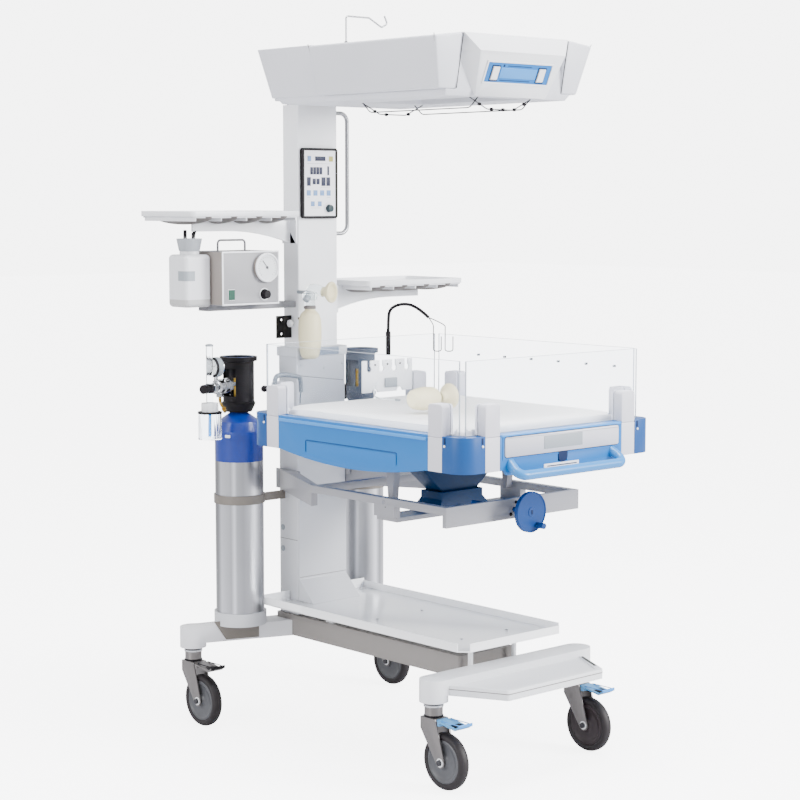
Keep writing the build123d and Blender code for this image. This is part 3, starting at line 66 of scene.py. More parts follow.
# Soft studio light and a pale floor
def soft_light(name, place, aim, size, power):
    """A square soft box that faces its aim."""
    bpy.ops.object.light_add(type="AREA", location=place)
    lamp = bpy.context.object
    lamp.name = name
    lamp.data.shape = "SQUARE"
    lamp.data.size = size
    lamp.data.energy = power
    lamp.rotation_euler = (Vector(aim) - Vector(place)).to_track_quat("-Z", "Y").to_euler()


soft_light("Front_light", (3.0, -5.2, 3.0), (0, -0.2, 1.0), 2.2, 820)
soft_light("Left_light", (-5.4, 0.4, 2.4), (0, 0, 1.0), 2.0, 190)
soft_light("Top_light", (-0.2, -0.8, 5.0), (0, 0, 1.0), 2.4, 460)
sky_light = 1.5
sky_extra_seen = 4.6
floor_glow_seen = 5.4


def glow_where_seen(tree, socket, extra, base=0.0):
    """A light of the base strength, with the extra where the camera sees it straight or through plastic."""
    rays = tree.nodes.new("ShaderNodeLightPath")
    seen = tree.nodes.new("ShaderNodeMath")
    seen.operation = "MAXIMUM"
    glow = tree.nodes.new("ShaderNodeMath")
    glow.operation = "MULTIPLY_ADD"
    glow.inputs[1].default_value = extra
    glow.inputs[2].default_value = base
    tree.links.new(rays.outputs["Is Camera Ray"], seen.inputs[0])
    tree.links.new(rays.outputs["Is Transmission Ray"], seen.inputs[1])
    tree.links.new(seen.outputs[0], glow.inputs[0])
    tree.links.new(glow.outputs[0], socket)


world = bpy.data.worlds.new("Studio")
world.use_nodes = True
sky = world.node_tree.nodes["Background"]
sky.inputs["Color"].default_value = (1.0, 1.0, 1.0, 1)
glow_where_seen(world.node_tree, sky.inputs["Strength"], sky_extra_seen, sky_light)
scene.world = world

bpy.ops.object.select_all(action="DESELECT")
bpy.ops.mesh.primitive_plane_add(size=60, location=(0, 0, -0.001))
floor = bpy.context.object
floor.name = "Floor"


# Shared effects
def new_group(name, inputs, outputs):
    """A node group with its sockets, and its two end nodes."""
    group = bpy.data.node_groups.new(name, "ShaderNodeTree")
    for label, kind, value in inputs:
        socket = group.interface.new_socket(label, in_out="INPUT", socket_type=kind)
        if value is not None:
            socket.default_value = value
    for label, kind in outputs:
        group.interface.new_socket(label, in_out="OUTPUT", socket_type=kind)
    nodes = group.nodes
    return group, nodes, group.links, nodes.new("NodeGroupInput"), nodes.new("NodeGroupOutput")


def node(nodes, kind, **values):
    """A new node with the given settings."""
    made = nodes.new(kind)
    for key, value in values.items():
        setattr(made, key, value)
    return made


def moulded_group():
    """A slow colour drift, a roughness drift and a fine grain."""
    colour, number = "NodeSocketColor", "NodeSocketFloat"
    group, nodes, links, start, end = new_group(
        "Moulded_surface",
        [("Colour", colour, None), ("Shade", colour, None), ("Patch scale", number, 4.0),
         ("Roughness", number, 0.4), ("Spread", number, 0.08), ("Grain scale", number, 900.0),
         ("Grain depth", number, 0.1)],
        [("Colour", colour), ("Roughness", number), ("Normal", "NodeSocketVector")])
    place = node(nodes, "ShaderNodeTexCoord")
    patches = node(nodes, "ShaderNodeTexNoise")
    patches.inputs["Detail"].default_value = 4
    links.new(place.outputs["Object"], patches.inputs["Vector"])
    links.new(start.outputs["Patch scale"], patches.inputs["Scale"])
    mix = node(nodes, "ShaderNodeMix", data_type="RGBA")
    links.new(patches.outputs["Fac"], mix.inputs["Factor"])
    links.new(start.outputs["Colour"], mix.inputs["A"])
    links.new(start.outputs["Shade"], mix.inputs["B"])
    links.new(mix.outputs["Result"], end.inputs["Colour"])
    swing = node(nodes, "ShaderNodeMath", operation="SUBTRACT")
    swing.inputs[1].default_value = 0.5
    links.new(patches.outputs["Fac"], swing.inputs[0])
    rough = node(nodes, "ShaderNodeMath", operation="MULTIPLY_ADD")
    links.new(swing.outputs[0], rough.inputs[0])
    links.new(start.outputs["Spread"], rough.inputs[1])
    links.new(start.outputs["Roughness"], rough.inputs[2])
    links.new(rough.outputs[0], end.inputs["Roughness"])
    grain = node(nodes, "ShaderNodeTexNoise")
    grain.inputs["Detail"].default_value = 2
    links.new(place.outputs["Object"], grain.inputs["Vector"])
    links.new(start.outputs["Grain scale"], grain.inputs["Scale"])
    bump = node(nodes, "ShaderNodeBump")
    bump.inputs["Distance"].default_value = 0.0004
    links.new(start.outputs["Grain depth"], bump.inputs["Strength"])
    links.new(grain.outputs["Fac"], bump.inputs["Height"])
    links.new(bump.outputs["Normal"], end.inputs["Normal"])
    return group


moulded = moulded_group()


def surface(name, colour, shade=None, rough=0.4, spread=0.1, metallic=0.0, patch=4.0, grain=900.0,
            depth=0.1, coat=0.0, gloss=0.5):
    """A painted, moulded or metal finish."""
    made = bpy.data.materials.new(name)
    made.use_nodes = True
    nodes, links = made.node_tree.nodes, made.node_tree.links
    shader = nodes["Principled BSDF"]
    shader.inputs["Metallic"].default_value = metallic
    shader.inputs["Coat Weight"].default_value = coat
    shader.inputs["Specular IOR Level"].default_value = gloss
    shader.inputs["Coat Roughness"].default_value = 0.15
    effect = node(nodes, "ShaderNodeGroup", node_tree=moulded, name="Finish")
    shade = shade or [c * 0.93 for c in colour]
    for socket, value in (("Colour", (*colour, 1)), ("Shade", (*shade, 1)), ("Patch scale", patch),
                          ("Roughness", rough), ("Spread", spread), ("Grain scale", grain),
                          ("Grain depth", depth)):
        effect.inputs[socket].default_value = value
    links.new(effect.outputs["Colour"], shader.inputs["Base Color"])
    links.new(effect.outputs["Roughness"], shader.inputs["Roughness"])
    links.new(effect.outputs["Normal"], shader.inputs["Normal"])
    return made


def recolour(made, mask, colour):
    """The finish takes the colour where the mask is 1."""
    links = made.node_tree.links
    base = made.node_tree.nodes["Principled BSDF"].inputs["Base Color"]
    mix = node(made.node_tree.nodes, "ShaderNodeMix", data_type="RGBA")
    links.new(mask, mix.inputs["Factor"])
    links.new(base.links[0].from_socket, mix.inputs["A"])
    mix.inputs["B"].default_value = (*colour, 1)
    links.new(mix.outputs["Result"], base)


def zoned(made, axis, limit, colour, metallic, folded=False):
    """A second colour and metalness beyond a height or width of the piece."""
    nodes, links = made.node_tree.nodes, made.node_tree.links
    shader = nodes["Principled BSDF"]
    place = node(nodes, "ShaderNodeTexCoord")
    parts = node(nodes, "ShaderNodeSeparateXYZ")
    links.new(place.outputs["Object"], parts.inputs[0])
    value = parts.outputs[axis]
    if folded:
        both = node(nodes, "ShaderNodeMath", operation="ABSOLUTE")
        links.new(value, both.inputs[0])
        value = both.outputs[0]
    beyond = node(nodes, "ShaderNodeMath", operation="GREATER_THAN")
    beyond.inputs[1].default_value = limit
    links.new(value, beyond.inputs[0])
    recolour(made, beyond.outputs[0], colour)
    metal = node(nodes, "ShaderNodeMix", data_type="FLOAT")
    links.new(beyond.outputs[0], metal.inputs["Factor"])
    if shader.inputs["Metallic"].links:
        links.new(shader.inputs["Metallic"].links[0].from_socket, metal.inputs["A"])
    else:
        metal.inputs["A"].default_value = shader.inputs["Metallic"].default_value
    metal.inputs["B"].default_value = metallic
    links.new(metal.outputs["Result"], shader.inputs["Metallic"])
    return made


def painted_reflection_bands(made):
    """Painted reflection: bright and dark bands down a round metal wall, painted into its colour as the
    reflections a bright room leaves on it.
    """
    nodes, links = made.node_tree.nodes, made.node_tree.links
    shader = nodes["Principled BSDF"]
    place = node(nodes, "ShaderNodeTexCoord")
    turn = node(nodes, "ShaderNodeVectorMath", operation="DOT_PRODUCT")
    turn.inputs[1].default_value = (0.743, -0.67, 0)
    links.new(place.outputs["Normal"], turn.inputs[0])
    share = node(nodes, "ShaderNodeMapRange")
    share.inputs["From Min"].default_value = -1
    links.new(turn.outputs["Value"], share.inputs["Value"])
    bands = node(nodes, "ShaderNodeValToRGB")
    stops = ((0.0, 0.30), (0.07, 0.36), (0.15, 0.95), (0.27, 0.62), (0.36, 0.50), (0.43, 1.0), (0.49, 0.56),
             (0.62, 0.46), (0.76, 0.60), (0.84, 1.0), (0.92, 0.50), (1.0, 0.28))
    for spot, value in stops:
        stop = bands.color_ramp.elements.new(spot)
        stop.color = (value, value, value * 1.02, 1)
    bands.color_ramp.elements.remove(bands.color_ramp.elements[0])
    bands.color_ramp.elements.remove(bands.color_ramp.elements[-1])
    links.new(share.outputs["Result"], bands.inputs["Fac"])
    mix = node(nodes, "ShaderNodeMix", data_type="RGBA", blend_type="MULTIPLY")
    mix.inputs["Factor"].default_value = 1.0
    links.new(shader.inputs["Base Color"].links[0].from_socket, mix.inputs["A"])
    links.new(bands.outputs["Color"], mix.inputs["B"])
    links.new(mix.outputs["Result"], shader.inputs["Base Color"])


def painted_corner_shade(made):
    """Painted shade: a deeper blue painted round the bed's four corners, where the curved corners fall darker
    in the light.
    """
    nodes, links = made.node_tree.nodes, made.node_tree.links
    place = node(nodes, "ShaderNodeTexCoord")
    parts = node(nodes, "ShaderNodeSeparateXYZ")
    links.new(place.outputs["Object"], parts.inputs[0])
    masks = []
    for axis, middle, limit in (("X", 0.0, 0.274), ("Y", -0.138, 0.346)):
        shift = node(nodes, "ShaderNodeMath", operation="SUBTRACT")
        shift.inputs[1].default_value = middle
        links.new(parts.outputs[axis], shift.inputs[0])
        size = node(nodes, "ShaderNodeMath", operation="ABSOLUTE")
        links.new(shift.outputs[0], size.inputs[0])
        far = node(nodes, "ShaderNodeMath", operation="GREATER_THAN")
        far.inputs[1].default_value = limit
        links.new(size.outputs[0], far.inputs[0])
        masks.append(far)
    both = node(nodes, "ShaderNodeMath", operation="MULTIPLY")
    links.new(masks[0].outputs[0], both.inputs[0])
    links.new(masks[1].outputs[0], both.inputs[1])
    recolour(made, both.outputs[0], (0.0, 0.052, 0.205))


def clear_plastic(name, colour, rough=0.03, ior=1.3):
    """A see-through plastic with a faint tint."""
    made = surface(name, colour, rough=rough, spread=0.02, depth=0.0)
    shader = made.node_tree.nodes["Principled BSDF"]
    shader.inputs["Transmission Weight"].default_value = 1.0
    shader.inputs["IOR"].default_value = ior
    return made


def brushed(made, scale, strength):
    """Fine scratches that run round an upright axis."""
    nodes, links = made.node_tree.nodes, made.node_tree.links
    place = node(nodes, "ShaderNodeTexCoord")
    stretch = node(nodes, "ShaderNodeMapping")
    stretch.inputs["Scale"].default_value = (2.0, 2.0, scale)
    links.new(place.outputs["Object"], stretch.inputs["Vector"])
    scratch = node(nodes, "ShaderNodeTexNoise")
    scratch.inputs["Scale"].default_value = 1.0
    scratch.inputs["Detail"].default_value = 3
    links.new(stretch.outputs["Vector"], scratch.inputs["Vector"])
    bump = node(nodes, "ShaderNodeBump")
    bump.inputs["Strength"].default_value = strength
    bump.inputs["Distance"].default_value = 0.001
    links.new(scratch.outputs["Fac"], bump.inputs["Height"])
    links.new(bump.outputs["Normal"], nodes["Principled BSDF"].inputs["Normal"])
    return made


frame_paint = surface("Frame_paint", (0.24, 0.24, 0.26), rough=0.38, grain=1200, coat=0.1)
base_paint = surface("Base_paint", (0.70, 0.71, 0.74), rough=0.36, grain=1200, coat=0.15)
warm_paint = surface("Warm_paint", (0.13, 0.115, 0.10), rough=0.45, grain=1200)
housing_paint = surface("Housing_paint", (0.54, 0.55, 0.58), rough=0.35, coat=0.15)
tray_paint = surface("Tray_paint", (0.90, 0.91, 0.93), rough=0.14, spread=0.05, coat=0.5)
cover_plastic = surface("Cover_plastic", (0.60, 0.61, 0.66), rough=0.42, grain=700)
console_plastic = surface("Console_plastic", (0.74, 0.75, 0.78), rough=0.4, grain=700)
white_plastic = surface("White_plastic", (0.56, 0.56, 0.62), rough=0.4, grain=700)
plate_grey = surface("Plate_grey", (0.25, 0.28, 0.31), rough=0.5, grain=900, depth=0.2)
case_paint = surface("Case_paint", (0.22, 0.22, 0.235), rough=0.4, grain=900)
# Painted shade: a darker, warmer copy of the case paint for the faces that look to -X, away from the front
# light.
case_side_shade = surface("Case_side", (0.21, 0.185, 0.17), rough=0.42, grain=900)
recess_grey = surface("Recess_grey", (0.17, 0.21, 0.28), rough=0.45)
arch_grey = surface("Arch_grey", (0.09, 0.11, 0.14), rough=0.4)
groove_blue = surface("Groove_blue", (0.001, 0.045, 0.16), rough=0.5, gloss=0.2)
bed_blue = surface("Bed_blue", (0.001, 0.128, 0.40), (0.001, 0.118, 0.375), rough=0.38, grain=600, gloss=0.35)
# A lighter blue: the colour of the console window and the front pedal lips, and a painted highlight on the
# bed's rim bands.
light_blue_and_rim_highlight = surface("Rim_blue", (0.03, 0.22, 0.58), rough=0.34, grain=600)
deep_blue = surface("Deep_blue", (0.0, 0.022, 0.072), (0.0, 0.019, 0.064), rough=0.45, grain=600, gloss=0.18)
notch_blue = surface("Notch_blue", (0.001, 0.012, 0.055), rough=0.5, gloss=0.2)
handle_blue = surface("Handle_blue", (0.012, 0.17, 0.46), rough=0.33)
crank_blue = surface("Crank_blue", (0.001, 0.034, 0.155), rough=0.42, gloss=0.25)
pedal_blue = surface("Pedal_blue", (0.06, 0.25, 0.50), rough=0.35)
key_blue = surface("Key_blue", (0.10, 0.21, 0.42), rough=0.5)
key_yellow = surface("Key_yellow", (0.30, 0.27, 0.04), rough=0.5)
black_plastic = surface("Black_plastic", (0.0022, 0.0014, 0.0028), (0.003, 0.002, 0.004), rough=0.5,
                        grain=700, gloss=0.16)
display_glass = surface("Display_glass", (0.022, 0.026, 0.05), rough=0.5, depth=0.0, gloss=0.2)
tyre_rubber = surface("Tyre_rubber", (0.010, 0.008, 0.0095), (0.014, 0.011, 0.013), rough=0.55, grain=500,
                      depth=0.3, gloss=0.3)
hub_grey = surface("Hub_grey", (0.065, 0.067, 0.075), rough=0.42, gloss=0.4)
hub_brown = surface("Hub_brown", (0.024, 0.017, 0.020), rough=0.45, gloss=0.3)
chrome = surface("Chrome", (0.46, 0.47, 0.49), rough=0.14, spread=0.06, metallic=1.0, depth=0.02)
zinc = surface("Zinc_plate", (0.17, 0.16, 0.16), rough=0.34, spread=0.12, metallic=0.7, patch=30, depth=0.1)
dark_steel = surface("Dark_steel", (0.05, 0.05, 0.055), rough=0.35, metallic=0.8, patch=30)
steel = surface("Brushed_steel", (0.28, 0.285, 0.30), rough=0.32, metallic=1.0, patch=12)
brass = surface("Brass", (0.42, 0.25, 0.05), rough=0.25, metallic=1.0, patch=30)
key_green = surface("Key_green", (0.0015, 0.055, 0.032), rough=0.4, gloss=0.25)
knob_teal = surface("Knob_teal", (0.001, 0.018, 0.024), rough=0.3, gloss=0.35)
silicone = surface("Silicone", (0.66, 0.60, 0.40), (0.60, 0.54, 0.34), rough=0.5, depth=0.2)
pad_cloth = surface("Pad_cloth", (0.82, 0.82, 0.83), rough=0.65, grain=400, depth=0.15)
acrylic = clear_plastic("Clear_acrylic", (0.965, 0.98, 1.0), rough=0.0, ior=1.08)
edge_plastic = surface("Sheet_edge", (0.42, 0.46, 0.52), rough=0.3, depth=0.0)
meter_plastic = clear_plastic("Clear_meter_plastic", (0.90, 0.93, 0.97), rough=0.05, ior=1.15)
pale_face = surface("Pale_face", (0.66, 0.68, 0.70), rough=0.3, depth=0.0, coat=0.3)
dial_ink = surface("Dial_ink", (0.05, 0.05, 0.055), rough=0.5)
under_grey = surface("Shelf_underside", (0.11, 0.10, 0.095), rough=0.6, grain=500, depth=0.3)
smoke_plastic = clear_plastic("Clear_mask_plastic", (0.88, 0.92, 0.93), rough=0.12, ior=1.25)
floor_paint = surface("Floor_paint", (0.62, 0.62, 0.64), rough=0.7, depth=0.0)
floor_shader = floor_paint.node_tree.nodes["Principled BSDF"]
floor_shader.inputs["Emission Color"].default_value = (1, 1, 1, 1)
glow_where_seen(floor_paint.node_tree, floor_shader.inputs["Emission Strength"], floor_glow_seen)
floor.data.materials.append(floor_paint)

bottle_metal = surface("Cylinder_finish", (0.62, 0.63, 0.66), rough=0.30, spread=0.12, metallic=1.0, patch=9)
brushed(bottle_metal, 260.0, 0.25)
# Painted reflection: bright and dark bands painted into the cylinders' metal colour.
painted_reflection_bands(bottle_metal)
zoned(bottle_metal, "Z", 0.763, (0.0, 0.020, 0.20), 0.0)
zoned(bottle_metal, "Z", 0.905, (0.42, 0.27, 0.06), 1.0)
strut_finish = surface("Tilt_finish", (0.0, 0.022, 0.072), (0.0, 0.019, 0.064), rough=0.45, grain=600,
                       gloss=0.18)
zoned(strut_finish, "X", 0.196, (0.22, 0.22, 0.24), 0.0, folded=True)
beam_finish = surface("Beam_finish", (0.20, 0.185, 0.175), rough=0.4, grain=1200, coat=0.1)
zoned(beam_finish, "X", 0.1005, (0.62, 0.62, 0.65), 0.0, folded=True)
column_paint = surface("Column_paint", (0.78, 0.79, 0.82), rough=0.35, coat=0.15)
guard_finish = surface("Guard_finish", (0.0022, 0.0014, 0.0028), rough=0.5, grain=700, gloss=0.16)
zoned(guard_finish, "X", 0.05, (0.075, 0.09, 0.12), 0.0)
fitting_finish = surface("Fitting_finish", (0.0022, 0.0018, 0.0028), rough=0.45, gloss=0.2)
zoned(fitting_finish, "Z", 1.19, (0.17, 0.17, 0.185), 0.0)
holder_finish = surface("Holder_finish", (0.50, 0.51, 0.54), rough=0.4, grain=1200)
zoned(holder_finish, "Z", 0.33, (0.13, 0.115, 0.10), 0.0)
# Painted shade: a deeper blue painted round the bed's corners.
painted_corner_shade(bed_blue)
jar_finish = surface("Jar_finish", (0.40, 0.40, 0.40), rough=0.35)
zoned(jar_finish, "Z", 1.236, (0.62, 0.63, 0.66), 0.0)
zoned(jar_finish, "Z", 1.369, (0.30, 0.32, 0.35), 0.0)
zoned(jar_finish, "Z", 1.405, (0.003, 0.003, 0.004), 0.0)


# Making pieces, with sizes in millimetres
def mm(*values):
    """Millimetres as the scene's metres."""
    return tuple(v / 1000 for v in values)


def only(piece):
    """That piece alone selected, in object mode."""
    if bpy.context.object and bpy.context.object.mode != "OBJECT":
        bpy.ops.object.mode_set(mode="OBJECT")
    bpy.ops.object.select_all(action="DESELECT")
    piece.select_set(True)
    bpy.context.view_layer.objects.active = piece


def edit(piece, everything=True):
    """Edit mode on the piece's faces."""
    only(piece)
    bpy.ops.object.mode_set(mode="EDIT")
    bpy.ops.mesh.select_mode(type="FACE")
    if everything:
        bpy.ops.mesh.select_all(action="SELECT")


def settle(piece):
    """The piece's place goes into its mesh."""
    only(piece)
    bpy.ops.object.transform_apply(location=True, rotation=True, scale=True)
    return piece


def apply(piece, name):
    """The named modifier goes into the mesh."""
    only(piece)
    bpy.ops.object.modifier_apply(modifier=name)
    return piece


def soften(piece, width, segments=3, angle=35):
    """Rounded edges wherever the faces meet at more than the angle."""
    edge = piece.modifiers.new("Edge", "BEVEL")
    edge.width = width / 1000
    edge.segments = segments
    edge.limit_method = "ANGLE"
    edge.angle_limit = radians(angle)
    return apply(piece, "Edge")


def block(x, y, z, edge=0.0, segments=3):
    """A block between low and high values on each axis."""
    bpy.ops.object.select_all(action="DESELECT")
    bpy.ops.mesh.primitive_cube_add(size=1, location=mm(sum(x) / 2, sum(y) / 2, sum(z) / 2))
    piece = bpy.context.object
    piece.scale = mm(abs(x[1] - x[0]), abs(y[1] - y[0]), abs(z[1] - z[0]))
    settle(piece)
    return soften(piece, edge, segments) if edge else piece


def turned(profile, base, along=(0, 0, 1), sides=48, hollow=False):
    """A round solid from radius and height pairs, standing on its base along its axis."""
    bpy.ops.object.select_all(action="DESELECT")
    radius, height = profile[0]
    bpy.ops.mesh.primitive_circle_add(vertices=sides, radius=radius / 1000, fill_type="NGON")
    piece = bpy.context.object
    edit(piece)
    bpy.ops.transform.translate(value=mm(0, 0, height))
    for wider, higher in profile[1:] + (profile[:1] if hollow else []):
        bpy.ops.mesh.extrude_region_move(TRANSFORM_OT_translate={"value": mm(0, 0, higher - height)})
        if wider != radius:
            bpy.ops.transform.resize(value=(wider / radius, wider / radius, 1),
                                     center_override=mm(0, 0, higher))
        radius, height = wider, higher
    if hollow:
        bpy.ops.object.mode_set(mode="OBJECT")
        for face in piece.data.polygons:
            face.select = len(face.vertices) == sides
        edit(piece, everything=False)
        bpy.ops.mesh.delete(type="ONLY_FACE")
        bpy.ops.mesh.select_all(action="SELECT")
        bpy.ops.mesh.remove_doubles(threshold=0.00001)
    bpy.ops.mesh.select_all(action="SELECT")
    bpy.ops.mesh.normals_make_consistent(inside=False)
    bpy.ops.object.mode_set(mode="OBJECT")
    piece.rotation_mode = "QUATERNION"
    piece.rotation_quaternion = Vector(along).to_track_quat("Z", "Y")
    piece.location = mm(*base)
    return settle(piece)


def round_line(name, points, radius, sides, steps):
    """A round curve through bends given by their corners."""
    line = bpy.data.curves.new(name, "CURVE")
    line.dimensions = "3D"
    line.bevel_depth = radius / 1000
    line.bevel_resolution = sides
    line.resolution_u = steps
    line.use_fill_caps = True
    run = line.splines.new("NURBS")
    run.points.add(len(points) - 1)
    for spot, place in zip(run.points, points):
        spot.co = (*mm(*place), 1)
    run.order_u = 3
    run.use_endpoint_u = True
    piece = bpy.data.objects.new(name, line)
    bpy.context.collection.objects.link(piece)
    return piece


def wire(points, radius, sides=3):
    """A round bar through bends given by their corners."""
    only(round_line("Wire", points, radius, sides, 8))
    bpy.ops.object.convert(target="MESH")
    return bpy.context.object


def pick_edges(piece, axis, test):
    """Edit mode on the edges along one axis whose middle passes the test."""
    edit(piece, everything=False)
    bpy.ops.mesh.select_all(action="DESELECT")
    bpy.ops.object.mode_set(mode="OBJECT")
    for line in piece.data.edges:
        start, end = (piece.data.vertices[i].co * 1000 for i in line.vertices)
        run = end - start
        line.select = abs(run["xyz".index(axis)]) > 0.99 * run.length and test((start + end) / 2)
    bpy.ops.object.mode_set(mode="EDIT")
    bpy.ops.mesh.select_mode(type="EDGE")


def round_edges(piece, axis, width, segments, test):
    """The edges along one axis that pass the test, rounded to the width."""
    pick_edges(piece, axis, test)
    bpy.ops.mesh.bevel(offset=width / 1000, segments=segments)
    bpy.ops.object.mode_set(mode="OBJECT")
    return piece


def swung(piece, axis, angle, centre):
    """A piece made round the origin, turned about one axis and moved to its centre."""
    only(piece)
    bpy.ops.transform.rotate(value=angle, orient_axis=axis, center_override=(0, 0, 0))
    bpy.ops.transform.translate(value=mm(*centre))
    return settle(piece)


def join(pieces):
    """Several meshes made one."""
    only(pieces[0])
    for piece in pieces[1:]:
        piece.select_set(True)
    bpy.ops.object.join()
    return pieces[0]


def cut(piece, cutter):
    """The cutter's room taken out of the piece."""
    saw = piece.modifiers.new("Saw", "BOOLEAN")
    saw.operation = "DIFFERENCE"
    saw.solver = "EXACT"
    saw.object = cutter
    apply(piece, "Saw")
    bpy.data.objects.remove(cutter)
    return piece


def finish(piece, name, look, body, angle=35, stands_for=()):
    """Name, finish, smooth shading and the body that carries the piece."""
    piece.name = name
    piece.data.name = name
    piece.data.materials.clear()
    piece.data.materials.append(look)
    only(piece)
    bpy.ops.object.shade_smooth_by_angle(angle=radians(angle))
    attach(piece, body)
    if stands_for:
        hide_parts(*stands_for)
    return piece


def assign(piece, look, test):
    """A second finish on the faces whose middle passes the test, in millimetres."""
    piece.data.materials.append(look)
    last = len(piece.data.materials) - 1
    for face in piece.data.polygons:
        if test(face.center * 1000, face.normal):
            face.material_index = last


def copy_of(source_name):
    """A merged copy of a CAD node's mesh."""
    source = frame["nodes"][source_name]
    piece = source.copy()
    piece.data = source.data.copy()
    del piece["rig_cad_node"]
    bpy.context.collection.objects.link(piece)
    piece.parent = None
    piece.matrix_world = Matrix.Identity(4)
    edit(piece)
    bpy.ops.mesh.remove_doubles(threshold=0.00001)
    bpy.ops.mesh.dissolve_limited(angle_limit=radians(0.5))
    bpy.ops.object.mode_set(mode="OBJECT")
    return piece


def rounded(source_name, name, width, look, body, segments=3, angle=35):
    """A CAD node's shape with its sharp edges rounded."""
    piece = soften(copy_of(source_name), width, segments, angle)
    return finish(piece, name, look, body, stands_for=(source_name,))


# Painted frame, housings and mouldings with softened edges
for source, name, width, look, body, slot in (
        ("base_frame", "painted_base", 3, beam_finish, "chassis", "frame_grey"),
        ("front_foot", "painted_foot", 2.5, base_paint, "chassis", "frame_grey"),
        ("lower_tray", "folded_tray", 0.8, tray_paint, "chassis", "white_paint"),
        ("lower_housing", "housing_body", 2, housing_paint, "chassis", "frame_grey"),
        ("housing_cover", "housing_front", 1.5, housing_paint, "chassis", "cover_grey"),
        ("left_shelf", "left_shelf_tray", 1.2, base_paint, "chassis", "frame_grey"),
        ("right_shelf", "right_shelf_tray", 1.2, base_paint, "chassis", "frame_grey"),
        ("bed_frame", "painted_bed_frame", 1.2, frame_paint, "chassis", "frame_grey"),
        ("suction_case", "pump_case", 1.5, case_paint, "chassis", "white_plastic"),
        ("head_shell", "head_moulding", 3, cover_plastic, "head", "cover_grey"),
        ("side_covers", "head_side_covers", 6, cover_plastic, "head", "cover_grey"),
        ("head_console", "head_console_moulding", 4, console_plastic, "head", "white_plastic"),
        ("bed_shell", "bed_moulding", 4, bed_blue, "bed", "bed_blue"),
        ("corner_posts", "lower_posts", 2, white_plastic, "bed", "white_plastic"),
        ("drawer", "drawer_moulding", 2.5, white_plastic, "drawer_body", "white_plastic"),
        ("tilt_pedestal", "tilt_funnel", 2, strut_finish, "bed", "deep_blue"),
        ("pedestal_foot", "funnel_foot", 2, deep_blue, "chassis", "deep_blue")):
    if source == "drawer":
        moulding = round_edges(copy_of(source), "y", 8, 5, lambda middle: abs(middle.x) > 205)
        finish(soften(moulding, width, 3, 35), name, look, body, stands_for=(source,))
        continue
    made = rounded(source, name, width, look, body)
    if source == "suction_case":
        # Painted shade: the case's faces that look to -X take the darker copy of its paint.
        assign(made, case_side_shade, lambda place, normal: normal.x < -0.7)

# Clear walls and their white clamps
def at_wall(wall, spot, depths, z, half=25.8):
    """A block at a wall, between two depths under the shell's outer face."""
    axis, side, outer = wall
    across = sorted((outer - side * depths[0], outer - side * depths[1]))
    along = (spot - half, spot + half)
    return block(across, along, z) if axis == "x" else block(along, across, z)


walls = (("panel_left", "panel_left_body", ("x", -1, -354), (-462, 186), (-519, 245)),
         ("panel_right", "panel_right_body", ("x", 1, 354), (-462, 186), (-519, 245)),
         ("panel_foot", "panel_foot_body", ("y", -1, -564), (-252, 252), (-317, 317)),
         ("panel_head", "bed", ("y", 1, 288), (-252, 252), (-317, 317)))
for source, body, wall, spots, ends in walls:
    middle = (ends[0] + ends[1]) / 2
    sheet = at_wall(wall, middle, (28.5, 33.5), (930, 1116), (ends[1] - ends[0]) / 2)
    clamps = []
    for spot in spots:
        cut(sheet, at_wall(wall, spot, (20, 40), (920, 934), 26.2))
        grip = at_wall(wall, spot, (0.1, 39.4), (925.4, 1007.8))
        round_edges(grip, wall[0], 9, 4, lambda middle: middle.z > 1000)
        cut(grip, at_wall(wall, spot, (18, 50), (900, 929.4), 40))
        cut(grip, at_wall(wall, spot, (28.4, 33.6), (934.2, 1100), 40))
        clamps.append(soften(grip, 2.2, 3))
    soften(sheet, 0.8, 1)
    finish(sheet, source + "_sheet", acrylic, body, angle=5, stands_for=(source,))
    assign(sheet, edge_plastic, lambda place, normal: max(abs(normal.x), abs(normal.y)) < 0.99
           or abs(normal.x if wall[0] == "y" else normal.y) > 0.5)
    finish(join(clamps), source + "_clamps", white_plastic, body, stands_for=(source,))

# Small round buttons that hold the hoses' clips on the right wall
buttons = [turned([(3.4, 0), (3.4, 1.2), (2.6, 2.0)], (x, y, 1063), (side, 0, 0), 20)
           for side, x in ((1, 325.5), (-1, 320.5)) for y in (76, -31, -136, -241, -346, -449)]
finish(join(buttons), "wall_buttons", plate_grey, "panel_right_body")


# Head
face_right = Vector((1, 0, 0))
face_up = Vector((0, -48, 111)).normalized()
face_out = face_right.cross(face_up)
if face_out.y > 0:
    face_out = -face_out


def on_console(piece):
    """A piece made facing -Y at the origin, laid on the console's leaning face."""
    turn = Matrix((face_right, -face_out, face_up)).transposed().to_4x4()
    piece.matrix_world = Matrix.Translation(mm(0, -417, 1886)) @ turn @ piece.matrix_world
    return settle(piece)


def frame_of(x, z, y, width, edge):
    """A flat rectangular frame of a given width."""
    outer = block(x, y, z)
    inner = block((x[0] + width, x[1] - width), (y[0] - 20, y[1] + 20), (z[0] + width, z[1] - width))
    return soften(cut(outer, inner), edge, 2)


